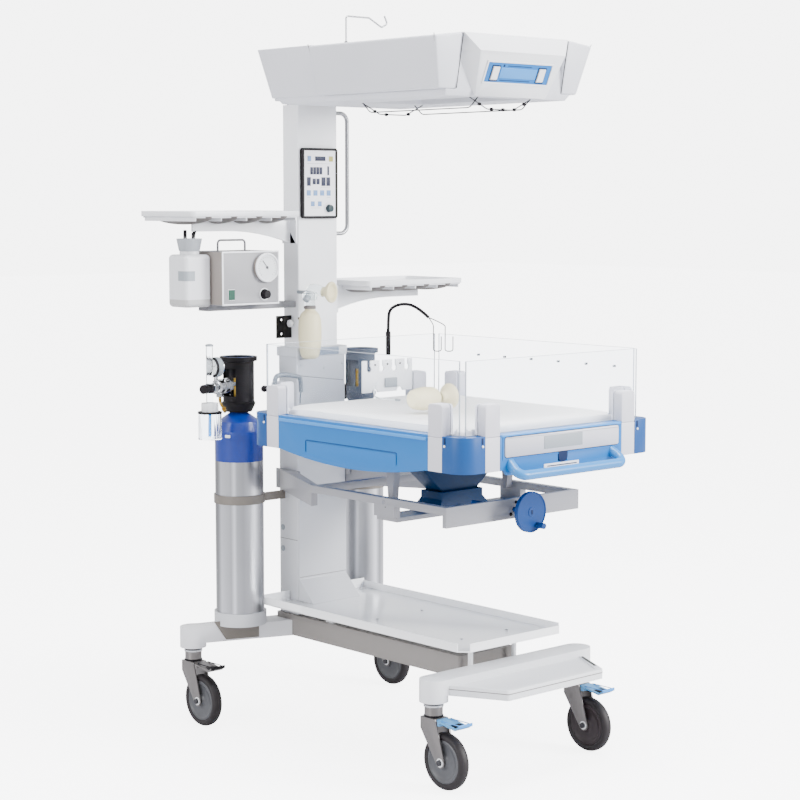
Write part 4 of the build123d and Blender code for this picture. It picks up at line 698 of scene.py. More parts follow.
surround = frame_of((-121, 121), (-87, -24), (-3.2, 1), 5, 1.2)
finish(on_console(surround), "console_surround", console_plastic, "head")
inset = block((-116, 116), (-0.8, 1), (-82, -29), 0.4, 2)
for side in (-84, 84):
    cut(inset, block((side - 12.2, side + 12.2), (-20, 20), (-78, -38)))
finish(on_console(inset), "console_inset", bed_blue, "head")
middle = block((-66, 66), (-2.2, 0), (-70, -42), 1.0, 3)
finish(on_console(middle), "console_window", light_blue_and_rim_highlight, "head")
lines = [block((-44, 44), (-1.2, 0), (-38, -36), 0.4, 2), block((-62, 50), (-1.2, 0), (-77, -75), 0.4, 2),
         block((-60, -54), (-1.2, 0), (-40, -34), 0.4, 2)]
finish(on_console(join(lines)), "console_marks", notch_blue, "head")
wells = [frame_of((side - 15, side + 15), (-79.5, -36.5), (-1.6, 0.6), 2.8, 0.5) for side in (-84, 84)]
finish(on_console(join(wells)), "console_rocker_frames", notch_blue, "head")

beads = []
for x, y, z in ((-76, -331, 1757.0), (-32, -331, 1744.8), (10, -331, 1744.8), (52, -331, 1746.2),
                (88, -331, 1761.5), (-66, 89, 1752), (-24, 89, 1744.8), (58, 89, 1748)):
    beads.append(turned([(1.8, -4.5), (4.2, -3.4), (4.6, 0), (4.2, 3.4), (1.8, 4.5)], (x, y, z),
                        (1, 0, 0), 20))
finish(join(beads), "guard_beads", black_plastic, "head")
finish(turned([(3.4, 1932), (5.6, 1935), (5.6, 1954), (4.6, 1957), (2.8, 1958)], (0, 287, 0), sides=24),
       "hook_grip", black_plastic, "drip_hook_body")

# Painted shade: thin black strips down the gaps between the side covers and the console, for the shadow in
# those gaps.
gaps = [wire([(side * 192, -391.6, 1927), (side * 192, -379, 1860), (side * 192, -366.6, 1792)], 1.1, 2)
        for side in (-1, 1)]
finish(join(gaps), "cover_gaps", black_plastic, "head")
seams = [wire([(side * 288, y[0], 1924), (side * 272, (y[0] + y[1]) / 2, 1864), (side * 256, y[1], 1804)],
              1.0, 2) for side in (-1, 1) for y in ((107, 91), (-386, -361))]
finish(join(seams), "cover_corner_lines", under_grey, "head")


# Control panel on the column
finish(block((-58.6, 58.6), (405.8, 406), (1464.4, 1652.6)), "panel_face", console_plastic, "chassis")
key_y = (404.7, 405.8)
blue_keys = [block((x, x + 15), key_y, (1523, 1538.5), 2.2) for x in (-49.6, -24.8, 0.4, 25)]
blue_keys += [block((x, x + 14), key_y, (1492.6, 1506.5), 2.2) for x in (-34.3, -8)]
blue_keys.append(block((-46, -33), key_y, (1622, 1637), 2.2))
finish(join(blue_keys), "panel_keys", key_blue, "chassis")
finish(block((34, 49), key_y, (1621.5, 1636.5), 2.2), "panel_alarm_key", key_yellow, "chassis")
glass_y = (405.2, 405.8)
windows = [((-18, 21), (1622.8, 1635.8)), ((27.8, 34.7), (1582, 1608)), ((-48.6, -34.3), (1551, 1576)),
           ((5.6, 21), (1551, 1576)), ((24, 38.6), (1551, 1576)), ((-27.5, -15.5), (1555.5, 1572)),
           ((-13, -1), (1555.5, 1572))]
windows += [((-36.3 + 11.6 * i, -26.1 + 11.6 * i), (1584, 1605)) for i in range(4)]
finish(join([block(x, glass_y, z, 0.5, 2) for x, z in windows]), "panel_displays", display_glass, "chassis")
marks = [((-48, 38), 1614.5), ((2, 38), 1545.5), ((-48, -38), 1517), ((26, 40), 1517), ((-34, 2), 1487)]
finish(join([block(x, (405.5, 405.8), (z, z + 0.9)) for x, z in marks]), "panel_rules", plate_grey, "chassis")
ring = turned([(11.6, 0), (17.8, 0), (17.8, 0.8), (16.8, 1.6), (12.6, 1.6), (11.6, 0.8)], (33, 405.8, 1486),
              (0, -1, 0), 40, hollow=True)
finish(ring, "panel_knob_ring", console_plastic, "chassis")
knob = turned([(11.4, 0.0), (11.4, 2), (10.8, 3), (10.2, 10.6), (9.2, 11.8), (2, 12)], (33, 405.7, 1486),
              (0, -1, 0), 40)
pointer = block((32.2, 33.8), (393.4, 395), (1488, 1495), 0.4, 2)
finish(join([knob, pointer]), "panel_knob_cap", knob_teal, "control_knob_body",
       stands_for=("control_knob",))


# Mattress: a soft pad in a thin cover
deck = 907.4
pad = block((-300, 300), (-506, 234), (deck + 2, 941))
edit(pad)
bpy.ops.object.mode_set(mode="OBJECT")
for line in pad.data.edges:
    ends = [pad.data.vertices[i].co for i in line.vertices]
    line.select = abs(ends[0].z - ends[1].z) > 0.01
only(pad)
bpy.ops.object.mode_set(mode="EDIT")
bpy.ops.mesh.select_mode(type="EDGE")
bpy.ops.mesh.bevel(offset=0.046, segments=8)
bpy.ops.object.mode_set(mode="OBJECT")
soften(pad, 9, 4)
melt = pad.modifiers.new("Melt", "REMESH")
melt.mode = "VOXEL"
melt.voxel_size = 0.006
apply(pad, "Melt")
rest = [v.co.copy() for v in pad.data.vertices]
fill = pad.modifiers.new("Fill", "CLOTH")
fill.settings.use_pressure = True
fill.settings.uniform_pressure_force = 4
fill.settings.effector_weights.gravity = 0
for step in range(1, 21):
    scene.frame_set(step)
apply(pad, "Fill")
for vertex, start in zip(pad.data.vertices, rest):
    move = vertex.co - start
    if move.length > 0.007:
        move *= 0.007 / move.length
    vertex.co = start + move
    vertex.co.z = max(vertex.co.z, deck / 1000)
scene.frame_set(1)
even = pad.modifiers.new("Even", "SMOOTH")
even.iterations = 6
apply(pad, "Even")
finish(pad, "mattress_pad", pad_cloth, "bed", angle=60, stands_for=("mattress",))


# Casters
casters = (("fl", -270, -370), ("fr", 270, -370), ("rl", -364, 550), ("rr", 364, 550))
trail, axle_z = 48, 75
for corner, x, y in casters:
    axle = (x, y - trail, axle_z)
    wheel_body = "wheel_" + corner
    fork_body = "caster_" + corner
    tyre = turned([(57.5, -12.5), (61, -14.5), (66, -15.6), (70.5, -13), (73.6, -8.5), (74.9, -3),
                   (74.9, 3), (73.6, 8.5), (70.5, 13), (66, 15.6), (61, 14.5), (57.5, 12.5)], axle,
                  (1, 0, 0), 72, hollow=True)
    finish(tyre, "tyre_" + corner, tyre_rubber, wheel_body, angle=50,
           stands_for=("caster_wheel_" + corner,))
    half = [(15, 15.2), (16.5, 12), (22, 9.6), (38, 8.8), (46, 9.4), (49.5, 12.2), (51.5, 13.6), (54, 13.6),
            (57.4, 11.6)]
    profile = ([(5.4, -15.6), (14, -15.6)] + [(r, -h) for r, h in half] + half[::-1]
               + [(14, 15.6), (5.4, 15.6)])
    look = hub_brown if corner == "fr" else hub_grey
    finish(turned(profile, axle, (1, 0, 0), 64, hollow=True), "hub_" + corner, look, wheel_body,
           angle=50, stands_for=("caster_wheel_" + corner,))
    rounded("caster_fork_" + corner, "fork_" + corner, 1.2, zinc, fork_body, 2)
    nuts = [turned([(9.5, 0), (9.5, 1.2), (8, 1.8), (8, 6.4), (6.6, 7.4)],
                   (x + side * 23, y - trail, axle_z), (side, 0, 0), 6) for side in (-1, 1)]
    caps = [turned([(11.5, 0), (11.5, 1.0), (10.8, 1.5)], (x + side * 22.9, y - trail, axle_z),
                   (side, 0, 0), 32) for side in (-1, 1)]
    finish(join(nuts), "axle_nuts_" + corner, dark_steel, fork_body)
    finish(join(caps), "axle_washers_" + corner, console_plastic, fork_body)
    seal = turned([(24.2, 184.4), (25.6, 185.4), (25.6, 189), (24.2, 190)], (x, y, 0), sides=40, hollow=True)
    finish(seal, "bearing_seal_" + corner, black_plastic, fork_body)
    ring = turned([(24.2, 211), (26.2, 212), (26.2, 216.4), (24.2, 217.6)], (x, y, 0), sides=40, hollow=True)
    finish(ring, "bearing_ring_" + corner, chrome, fork_body)


# Suction unit
gauge_x, gauge_z = -238, 1322
pump_knob_x, pump_knob_z = -241, 1247
case_rim = frame_of((-388.6, -188.4), (1218.6, 1368.6), (360.6, 363), 4.5, 0.8)
finish(case_rim, "pump_front_rim", console_plastic, "chassis")
gauge = [turned([(35.5, 0), (41, 0), (41.4, 1.5), (40, 4.2), (37, 4.6), (35.5, 3)], (gauge_x, 353.4, gauge_z),
                (0, -1, 0), 56, hollow=True)]
gauge += [turned([(2.2, 0), (2.2, 0.8), (1.4, 1.2)], (gauge_x + dx, 349, gauge_z + dz), (0, -1, 0), 16)
          for dx, dz in ((0, 38.2), (-31, -22), (31, -22))]
finish(join(gauge), "gauge_bezel", console_plastic, "chassis")
finish(turned([(35.6, 0), (35.6, 0.5)], (gauge_x, 353, gauge_z), (0, -1, 0), 48), "gauge_face", pale_face,
       "chassis")
ticks = []
for i in range(21):
    turn = radians(225 - i * 13.5)
    long = 5 if i % 5 == 0 else 3
    tick = block((-0.35, 0.35), (352.0, 352.5), (31 - long, 31))
    ticks.append(swung(tick, "Y", -(turn - radians(90)), (gauge_x, 0, gauge_z)))
needle = block((-0.8, 0.8), (351.2, 352), (-6, 25))
ticks.append(swung(needle, "Y", radians(38), (gauge_x, 0, gauge_z)))
ticks.append(turned([(4, 0), (4, 1.6), (2.6, 2.2)], (gauge_x, 352.4, gauge_z), (0, -1, 0), 24))
finish(join(ticks), "gauge_marks", dial_ink, "chassis")
knob = turned([(11, 0), (14.6, 0.2), (14.6, 2.4), (12.6, 4), (12.0, 14), (10.8, 15.6), (3, 16)],
              (pump_knob_x, 361.2, pump_knob_z), (0, -1, 0), 18)
finish(knob, "pump_knob_cap", black_plastic, "suction_knob_body",
       stands_for=("suction_knob",))
finish(turned([(15, 0), (17.4, 0), (17.4, 0.7), (15, 0.9)], (pump_knob_x, 362, pump_knob_z), (0, -1, 0), 36,
              hollow=True), "pump_knob_ring", console_plastic, "chassis")
finish(frame_of((-368.6, -345.4), (1232.4, 1263.6), (360.9, 362.4), 1.6, 0.5), "pump_switch_frame",
       console_plastic, "chassis")
side_fit = [turned([(4.2, 0), (4.2, 1.2), (2.6, 3.4)], (-388.2, 424, 1296), (-1, 0, 0), 20),
            block((-390, -388), (438, 452), (1296, 1318), 0.5, 2)]
finish(join(side_fit), "pump_side_fittings", black_plastic, "chassis")

label = copy_of("suction_jar")
edit(label)
bpy.ops.transform.shrink_fatten(value=0.0006)
bpy.ops.object.mode_set(mode="OBJECT")
window = block((-482, -446), (400, 446), (1288, 1315))
saw = label.modifiers.new("Window", "BOOLEAN")
saw.operation = "INTERSECT"
saw.solver = "EXACT"
saw.object = window
apply(label, "Window")
bpy.data.objects.remove(window)
finish(label, "jar_label", plate_grey, "chassis")
jar = soften(copy_of("suction_jar"), 4, 4, 50)
finish(jar, "jar_body", jar_finish, "chassis", angle=50, stands_for=("suction_jar",))
ports = [wire([(-432 + s * 14, 454, 1404), (-432 + s * 14, 454, 1416), (-432 + s * 17, 450, 1426)], 5, 4)
         for s in (-1, 1)]
finish(join(ports), "jar_hose_ports", black_plastic, "chassis", angle=50)


# Shelves: moulded troughs and ribs under the rims
for name, x, y, z in (("left", (-487, -106), (362, 615), 1465), ("right", (106, 487), (312, 565), 1260)):
    troughs = []
    pitch = (x[1] - x[0] - 30) / 4
    for i in range(4):
        bpy.ops.object.select_all(action="DESELECT")
        bpy.ops.mesh.primitive_uv_sphere_add(segments=32, ring_count=16, radius=1,
                                             location=mm(x[0] + 15 + pitch * (i + 0.5), sum(y) / 2, z + 1))
        bowl = bpy.context.object
        bowl.scale = mm(pitch * 0.50, (y[1] - y[0]) * 0.50, 24)
        settle(bowl)
        troughs.append(cut(bowl, block((x[0], x[1]), y, (z + 0.5, z + 40))))
    finish(join(troughs), name + "_shelf_troughs", under_grey, "chassis", angle=60)
    ribs = [block((x[0] + 13 + pitch * i, x[0] + 17 + pitch * i), (y[0] + 6, y[1] - 6), (z - 13, z + 0.4),
                  1.6) for i in range(5)]
    ribs += [block((x[0] + 8, x[1] - 8), (edge - 2, edge + 2), (z - 4, z + 0.4), 1.2)
             for edge in (y[0] + 8, y[1] - 8)]
    finish(join(ribs), name + "_shelf_ribs", base_paint, "chassis")


# Gas cylinders
cylinder_x, cylinder_y = 232, 497
meter_x, meter_y = -386.9, 427
dial_y, dial_z = 442.3, 1042
way = Vector((-0.9114, -0.4115, 0))


def along_line(distance, z=985):
    """A place on the regulator's line, from the left valve."""
    return (-cylinder_x + way.x * distance, cylinder_y + way.y * distance, z)


nuts = [turned([(21.5, 0), (22.5, 1.2), (22.5, 11), (21.5, 12.2)], along_line(66), way, 6),
        turned([(20.4, 0), (21.4, 1), (21.4, 5), (20.4, 6)], along_line(100), way, 40),
        turned([(20.2, 0), (20.2, 4), (17, 6.5), (14, 7)], along_line(127.6), way, 40),
        turned([(13.5, 0), (14.5, 1), (14.5, 9), (13.5, 10)], along_line(150), way, 6),
        turned([(9, 0), (10, 1), (10, 9), (8, 10)], (*along_line(112)[:2], 965), (0, 0, -1), 6)]
finish(join(nuts), "regulator_nuts", chrome, "chassis")
spout = [wire([along_line(112, 962), along_line(112, 940), along_line(96, 926), along_line(86, 918)], 4.2, 4),
         turned([(6.5, 0), (6.5, 5), (4.5, 14), (3.5, 15)], along_line(90, 921), (0.55, 0.25, -0.8), 24)]
finish(join(spout), "regulator_spout", brass, "chassis", angle=50)
dial = (-363.2, dial_y, dial_z)
finish(turned([(22.5, 0), (28, -1.5), (28.4, 0.5), (28, 4), (25, 5), (22.5, 3.6)], dial, (-1, 0, 0), 48,
              hollow=True), "regulator_dial_bezel", black_plastic, "chassis")
finish(turned([(22.8, 0.2), (22.8, 1.6)], dial, (-1, 0, 0), 48), "regulator_dial_face", pale_face, "chassis")
shade = turned([(27.4, 0.5), (28.2, 1.6), (28.2, 15), (26, 18.6)], (-362, dial_y, dial_z), (1, 0, 0), 48)
finish(shade, "regulator_dial_case", plate_grey, "chassis")
marks = []
for i in range(9):
    mark = block((-365.4, -364.7), (-0.4, 0.4), (16, 20))
    marks.append(swung(mark, "X", radians(-120 + 30 * i), (0, dial_y, dial_z)))
hand = block((-366, -365.4), (-0.7, 0.7), (-5, 16))
marks.append(swung(hand, "X", radians(-70), (0, dial_y, dial_z)))
finish(join(marks), "regulator_dial_marks", dial_ink, "chassis")
meter = copy_of("flowmeter")
finish(meter, "meter_body", meter_plastic, "chassis", stands_for=("flowmeter",))
assign(meter, console_plastic, lambda place, normal: 917.5 < place.z < 945 or place.z > 1101)
finish(turned([(3.2, 850), (4.2, 854), (4.2, 925), (3.2, 930)], (meter_x, meter_y, 0), sides=20),
       "meter_dip_tube", handle_blue, "chassis")
collar = [turned([(33.4, 0), (34.2, 1), (34.2, 5), (33.4, 6)], (meter_x, meter_y, 914), (0, 0, 1), 40),
          turned([(11.5, 0), (13, 1), (13, 24), (11.5, 25)], (meter_x, meter_y, 972), (0, 0, 1), 32)]
finish(join(collar), "meter_fittings", black_plastic, "chassis")
finish(turned([(10.4, 0), (11.6, 1), (11.6, 4), (8.6, 6), (5, 7)], (meter_x, meter_y, 1103), (0, 0, 1), 28),
       "meter_cap", plate_grey, "chassis")
for side, name in ((-1, "left"), (1, "right")):
    finish(turned([(40.6, 1040), (43.6, 1040), (43.6, 1063.6), (40.6, 1063.6)],
                  (side * cylinder_x, cylinder_y, 0), sides=48, hollow=True), name + "_guard_lining",
           crank_blue, "chassis")
tag = block((-0.6, 0.6), (-8, 8), (834, 842), 0.3)
tag.rotation_euler[2] = pi + atan2(0.427, 0.905)
tag.location = mm(-cylinder_x - 0.905 * 70.2, cylinder_y - 0.427 * 70.2, 0)
finish(settle(tag), "cylinder_tag", console_plastic, "chassis")


# Squeeze bags and masks
def squeeze_bag(base, along, length, radius):
    """A soft bag with its neck."""
    outline = ((0.50, 0), (0.66, 0.02), (0.80, 0.07), (0.91, 0.2), (1, 0.4), (1, 0.62), (0.94, 0.78),
               (0.82, 0.87), (0.6, 0.93), (0.46, 0.95), (0.44, 1))
    return turned([(radius * wide, length * far) for wide, far in outline], base, along, 40)


def mask_cup(base, along, size=1.0):
    """A soft face mask with a cushioned rim."""
    outline = ((11, 0), (13.5, 1), (14.5, 9), (18, 15), (25, 22), (30, 27), (33.6, 31), (35, 35.5),
               (33.6, 39.4), (30, 41), (26, 39.6), (24.5, 36), (20, 32), (10, 30))
    return turned([(r * size, h * size) for r, h in outline], base, along, 48)


bag_x, bag_y = -76, 362
hung = soften(squeeze_bag((bag_x, bag_y, 1056), (0, 0, 1), 146, 33.5), 2, 2, 20)
finish(hung, "hung_bag", silicone, "chassis", angle=80, stands_for=("resuscitator",))
finish(mask_cup((-40, 350, 1247), (0.35, -0.937, 0), 0.88), "hung_mask", silicone, "chassis",
       angle=60, stands_for=("resuscitator",))
collar = [turned([(15, 0), (17.5, 1.2), (17.5, 8), (15, 9.5)], (bag_x, bag_y, 1199), (0, 0, 1), 36),
          turned([(2, 0), (3.4, 1), (3.4, 4), (2, 5)], (bag_x - 22, bag_y + 20, 1172), (-0.743, 0.67, 0), 16)]
finish(join(collar), "hung_bag_collar", under_grey, "chassis")
elbow = [wire([(bag_x, bag_y, 1208), (bag_x, bag_y, 1236), (bag_x + 3, bag_y - 1, 1256),
               (bag_x + 22, bag_y - 6, 1256), (-44, 352, 1248), (-38, 345, 1247)], 15, 5),
         turned([(13, 0), (21, 3), (22, 12), (20, 22), (13, 25)], (bag_x, bag_y, 1224), (0, 0, 1), 36)]
finish(join(elbow), "hung_valve", smoke_plastic, "chassis", angle=50, stands_for=("resuscitator",))
vent = [turned([(8, 0), (9.5, 1), (9.5, 16), (7, 18)], (bag_x - 10, bag_y - 4, 1236), (-0.62, -0.2, -0.7),
               28), turned([(4.6, 0), (5, 0.6), (5, 53)], (bag_x, bag_y, 1246), (0, 1, 0), 24)]
finish(join(vent), "hung_valve_outlet", plate_grey, "chassis", stands_for=("resuscitator",))
knob = turned([(5, 0), (5, 5), (10, 7), (11, 11), (10, 15), (6, 17)], (-74, 442, 1154), (-1, 0, 0), 32)
finish(knob, "column_side_knob", console_plastic, "chassis", angle=50)

lying = [soften(squeeze_bag((-198, -205, 988), (1, 0, 0), 98, 31), 1.5, 2, 20),
         mask_cup((-96, -205, 988.4), (1, 0, 0))]
finish(join(lying), "lying_bag_and_mask", silicone, "bed", angle=70,
       stands_for=("bed_accessories",))
finish(turned([(13, 0), (14.6, 1), (14.6, 9), (13, 10)], (-104, -205, 988), (1, 0, 0), 32),
       "lying_bag_collar", smoke_plastic, "bed")
holder = block((27, 222), (250.4, 254.3), (956, 1049), 1.2, 2)
for i, (x, z) in enumerate(((52, 1049), (100, 1050), (149, 1049), (198, 1050))):
    cut(holder, block((x - 6.5, x + 6.5), (240, 262), (z - 25, z + 10), 4))
    cut(holder, turned([(9, 0), (9, 30)], (x + 2, 240, z - 25), (0, 1, 0), 24))
for x in (75, 172):
    cut(holder, turned([(11, 0), (11, 30)], (x, 240, 956), (0, 1, 0), 24))
finish(holder, "hose_holder", console_plastic, "bed", stands_for=("bed_accessories",))
finish(join([turned([(3, 0), (3, 1), (2, 2)], (x, 250.4, 1036), (0, -1, 0), 18) for x in (76, 124, 173)]),
       "hose_holder_screws", black_plastic, "bed")
finish(block((112, 160), (246, 250.2), (968, 996), 2), "hose_holder_clip", plate_grey, "bed")
tip = finish(turned([(1.6, 0), (3.4, 1), (3.4, 10), (2.6, 12), (2.6, 17), (1.4, 18)], (-52, 20.4, 960.8),
                    (0.2, -0.98, 0), 24), "oxygen_hose_tip", plate_grey, "bed")
route = ((88, 248, 985), (60, 236, 975), (20, 190, 960.2), (-40, 120, 960.2), (-60, 60, 960.6),
         (-52, 20, 960.8))
hose = round_line("oxygen_hose", route, 2.2, 4, 12)
hose.data.materials.append(smoke_plastic)
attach(hose, "bed")
arch = wire([(-296, 247, 944), (-296, 247, 985), (-296, 247, 1027), (-262, 247, 1029), (-222, 247, 1022),
             (-201, 247, 1016), (-203, 247, 976)], 6.6, 4)
rod = wire([(-203, 247, 980), (-206, 247, 960), (-206, 247, 944)], 2.2, 3)
finish(join([arch, rod]), "tube_arch", arch_grey, "bed", angle=50)
ball = turned([(4, 0), (4, 4), (7, 6), (9.4, 10), (9.6, 14), (7.5, 19), (3, 22)], (-317, 252, 993),
              (-1, 0, 0), 32)
finish(ball, "wall_knob", black_plastic, "bed", angle=50)


# Bed trim: raised bands round the rim, painted a lighter blue as the rim's highlight
bands = [block((side * 356 - 2.4, side * 356 + 2.4), (-433, 157), (914, 922.4), 1.8) for side in (-1, 1)]
bands.append(block((-222, 222), (-566.2, -561), (922.8, 929.2), 1.8))
bands.append(block((-222, 222), (285, 290), (914, 922.4), 1.8))
finish(join(bands), "rim_bands", light_blue_and_rim_highlight, "bed")


def ring_at_drawer(outer, inner, y, corner):
    """A flat ring round the drawer's front, with a rounded opening."""
    room = block((-inner, inner), (y[0] - 20, y[1] + 20), (896 - inner + 186, 896 + inner - 186))
    round_edges(room, "y", corner, 5, lambda middle: True)
    return cut(block((-outer, outer), y, (896 - outer + 186, 896 + outer - 186)), room)


finish(ring_at_drawer(213.8, 211.7, (-564.7, -563.2), 8.4), "drawer_gap", notch_blue, "bed")
finish(ring_at_drawer(218, 213.2, (-565.3, -563), 9.6), "drawer_rim", bed_blue, "bed")
finish(block((-72, 71), (-568.1, -566.8), (881, 915), 3), "drawer_plate", plate_grey, "drawer_body")
notch = round_edges(block((-16.8, 16.8), (-565.9, -556), (843, 870.6)), "y", 15, 6,
                    lambda middle: middle.z < 850)
finish(notch, "drawer_notch", notch_blue, "bed")
apron = round_edges(block((-208, 208), (-563.6, -556), (825, 842)), "y", 12, 4, lambda middle: middle.z < 830)
finish(soften(apron, 1.5, 2), "front_apron", bed_blue, "bed")
finish(block((-69, 61), (-565.2, -563), (830.5, 842), 1), "front_slot_plate", console_plastic, "bed")
finish(block((-58, 52), (-565.8, -564), (834.4, 837.2), 0.4), "front_slot_line", notch_blue, "bed")
for side, name in ((-1, "left"), (1, "right")):
    line = wire([(side * 353.7, 44, 841), (side * 353.7, 44, 862), (side * 353.7, 44, 872),
                 (side * 353.7, 34, 872), (side * 353.7, -138, 872), (side * 353.7, -310, 872),
                 (side * 353.7, -320, 872), (side * 353.7, -320, 862), (side * 353.7, -320, 841)], 1.3, 2)
    finish(line, name + "_side_groove", groove_blue, "bed")
slots = []
pins = []
for side in (-1, 1):
    for y in (222, -498):
        slots.append(block((side * 354 - 1.2, side * 354 + 1.2), (y - 3, y + 3), (910, 926), 0.8))
        pins.append(turned([(3, 0), (3, 2), (2, 3)], (side * 354.6, y, 905), (side, 0, 0), 16))
    slots.append(block((side * 288 - 3, side * 288 + 3), (-565.2, -562.8), (910, 926), 0.8))
    pins.append(turned([(3, 0), (3, 2), (2, 3)], (side * 288, -564.6, 905), (0, -1, 0), 16))
finish(join(slots), "corner_slots", notch_blue, "bed")
finish(join(pins), "corner_pins", console_plastic, "bed")

crank_centre = (0, -455, 698)
disc = [turned([(50, 0), (54, 0), (54.2, 0.8), (53.2, 1.6), (51, 1.6), (50, 0.6)], crank_centre,
               (0, -1, 0), 56, hollow=True),
        turned([(12, 0), (12.6, 0.4), (12, 1.4), (9, 1.8)], crank_centre, (0, -1, 0), 36)]
finish(join(disc), "crank_rim", crank_blue, "crank")
finish(block((-3.6, 3.6), (-457.6, -456.4), (692, 704), 1.2), "crank_slot", notch_blue, "crank")
grips = [turned([(4, 0), (8.5, 1.5), (8.5, 9), (6, 11)], (-237, -157, 707), (-0.5, -0.2, -1), 16),
         turned([(4, 0), (4, 5), (2.6, 6.5)], (5, -391.6, 717), (0, -1, 0), 20),
         turned([(4.6, 0), (4.6, 3), (2.6, 4.5)], (-14, -391.6, 686), (0, -1, 0), 20)]
finish(join(grips), "rail_knobs", black_plastic, "chassis")


# Frame arms, front foot, housing, tray and brake pedals
arms = []
for side in (-1, 1):
    plate = block(sorted((side * 92.6, side * 98)), (388, 496), (669, 727))
    cut(plate, turned([(62, 0), (62, 30)], (side * 92 - 15, 388, 640), (1, 0, 0), 48))
    arms.append(soften(plate, 1.2, 2))
finish(join(arms), "frame_side_arms", frame_paint, "chassis")
groove = wire([(-252, -408, 259), (-183, -541, 259), (-178, -551.2, 259), (-166, -551.4, 259),
               (166, -551.4, 259), (178, -551.2, 259), (183, -541, 259), (252, -408, 259)], 1.0, 2)
finish(groove, "foot_groove", under_grey, "chassis", angle=60)
bar = wire([(235, -424, 268), (190, -512, 268)], 3.4, 3)
finish(bar, "foot_bar", dark_steel, "chassis", angle=60)
caps = [turned([(8, 0), (8.6, 0.6), (8, 1.6), (6, 2)], (-92, 471, z), (-1, 0, 0), 28)
        for z in (654, 553, 490)]
caps += [turned([(3.2, 0), (3.2, 0.8), (2, 1.4)], (x, 402, z), (0, -1, 0), 18)
         for x, z in ((-79, 1032), (10, 1021), (79, 1032))]
finish(join(caps), "housing_caps", plate_grey, "chassis")
seams = [block((-92.5, -91.4), (404, 487), (520.4, 521.8)), block((91.4, 92.5), (404, 487), (520.4, 521.8)),
         block((-91, 91), (401.4, 402.6), (668.6, 670)), block((-88, 88), (397.4, 398.6), (411.4, 412.6)),
         wire([(-90, 401.8, 1004.6), (0, 401.8, 992.9), (89, 401.8, 981.4)], 0.9, 2)]
finish(join(seams), "housing_seams", under_grey, "chassis")
finish(block((-84, -50), (401.3, 402.4), (1050.4, 1053), 0.3), "housing_slot", under_grey, "chassis")
finish(block((-84, 62), (396.3, 397.5), (1060.4, 1083), 0.5), "collar_recess", recess_grey, "chassis")
finish(block((91.6, 96), (400.5, 410), (924, 970), 1.5), "housing_edge_strip", black_plastic, "chassis")
ledges = []
cradles = []
for side in (-1, 1):
    ledges.append(block(sorted((side * 189, side * 192)), (262, 437), (341, 363), 0.8))
    ledges.append(block(sorted((side * 98, side * 191.6)), (434, 437), (341, 370), 0.8))
    ledges.append(block(sorted((side * 98, side * 191)), (398, 436), (340.2, 342.8)))
    cradle = block((-90, 46), (-1.1, 1.1), (243, 298))
    pick_edges(cradle, "y", lambda middle: middle.z < 250 and middle.x < 0)
    bpy.ops.transform.translate(value=mm(36, 0, 0))
    soften(cradle, 0.6, 2)
    if side > 0:
        only(cradle)
        bpy.ops.transform.mirror(constraint_axis=(True, False, False), center_override=(0, 0, 0))
        edit(settle(cradle))
        bpy.ops.mesh.normals_make_consistent(inside=False)
        bpy.ops.object.mode_set(mode="OBJECT")
    cradle.rotation_euler[2] = atan2(112.2, 309.6) * side
    cradle.location = mm(side * 240, 470.6, 0)
    cradles.append(settle(cradle))
finish(join(ledges), "tray_rear_lips", tray_paint, "chassis")
finish(join(cradles), "cup_cradles", warm_paint, "chassis")
screws = [turned([(4, 0), (4, 0.8), (2.6, 1.8)], (x, y, 343), (0, 0, 1), 20)
          for x in (-85, 85) for y in (-281, 60)]
finish(join(screws), "tray_screws", steel, "chassis")
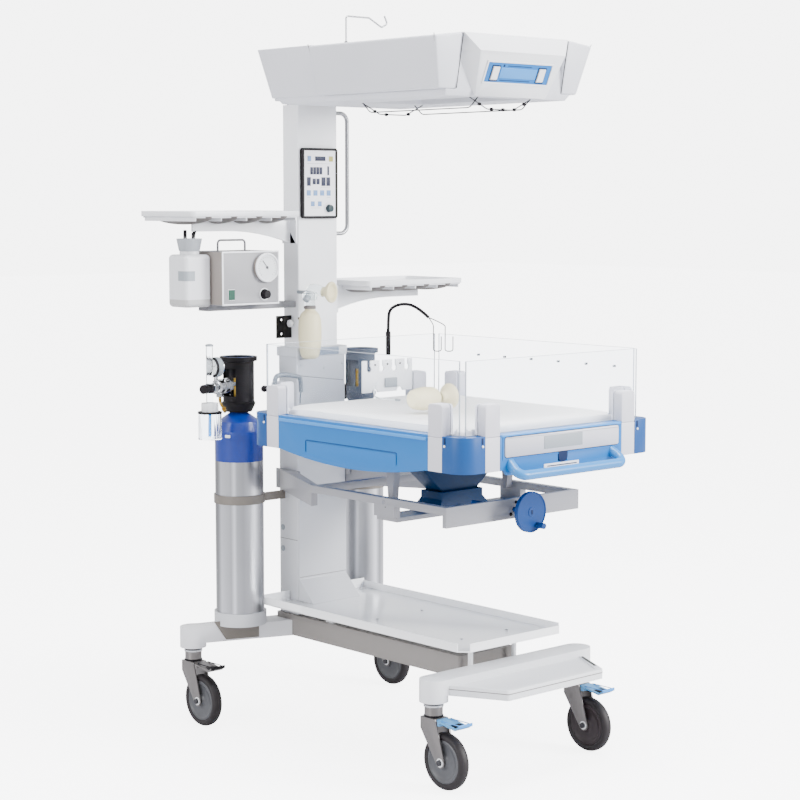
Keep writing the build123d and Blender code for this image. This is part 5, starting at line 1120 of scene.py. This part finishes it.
for corner, x, y in casters:
    lever = [block((x - 7, x + 7), (y - 62, y - 42), (166, 178.4), 2),
             block((x - 17, x + 17), (y - 112, y - 60), (173.5, 178.4), 1.6)]
    finish(join(lever), "brake_lever_" + corner, black_plastic, "pedal_" + corner)
    lip = [block((x - 24.6, x + 24.6), (y - 120.4, y - 116), (177.4, 186.4), 1.8),
           block((x - 20, x - 17), (y - 112, y - 48), (183, 185.2), 0.9),
           block((x + 17, x + 20), (y - 112, y - 48), (183, 185.2), 0.9)]
    finish(join(lip), "pedal_lip_" + corner, light_blue_and_rim_highlight if corner[0] == "f" else black_plastic,
           "pedal_" + corner)


# Gooseneck with its wire hooks
neck = wire([(132, 257, 1108), (132, 257, 1160), (134, 254, 1196), (156, 228, 1212), (184, 193, 1206),
             (207, 165, 1172)], 4.6, 5)
hooks = []
for near, far in ((10, 26), (34, 50)):
    hooks.append(wire([(207, 165, 1172), (207 + near, 165 - near, 1152), (207 + near, 165 - near, 1140),
                       (207 + near, 165 - near, 1086), (207 + near, 165 - near, 1074),
                       (207 + far, 165 - far, 1074), (207 + far, 165 - far, 1086),
                       (207 + far, 165 - far, 1117)], 1.6, 3))
finish(join(hooks), "hose_hooks", dark_steel, "bed", angle=60, stands_for=("gooseneck",))
foot = turned([(5.4, 1062), (7.4, 1063.4), (7.4, 1128), (5.4, 1131)], (132, 257, 0), sides=28)
finish(join([neck, foot]), "gooseneck_arm", black_plastic, "bed", angle=60,
       stands_for=("gooseneck",))


# Every CAD node that shows keeps its shape and gets its finish
node_finish = {
    "column": column_paint, "suction_fittings": fitting_finish, "swivel_plate": warm_paint,
    "control_panel": black_plastic, "side_rail": steel, "rocker_left": console_plastic,
    "rocker_right": console_plastic, "reflector": chrome, "heater_rod": steel, "heater_guard": dark_steel,
    "drip_hook": steel, "suction_switch": key_green,
    "gas_cylinders": bottle_metal, "valve_guards": guard_finish,
    "cylinder_holders": holder_finish, "regulator": chrome, "regulator_knob": black_plastic,
    "push_handle": handle_blue, "crank_wheel": crank_blue,
}
for corner in ("fl", "fr", "rl", "rr"):
    node_finish["caster_pedal_" + corner] = pedal_blue if corner[0] == "f" else zinc
for name, look in node_finish.items():
    mesh = frame["nodes"][name].data
    mesh.materials.clear()
    mesh.materials.append(look)
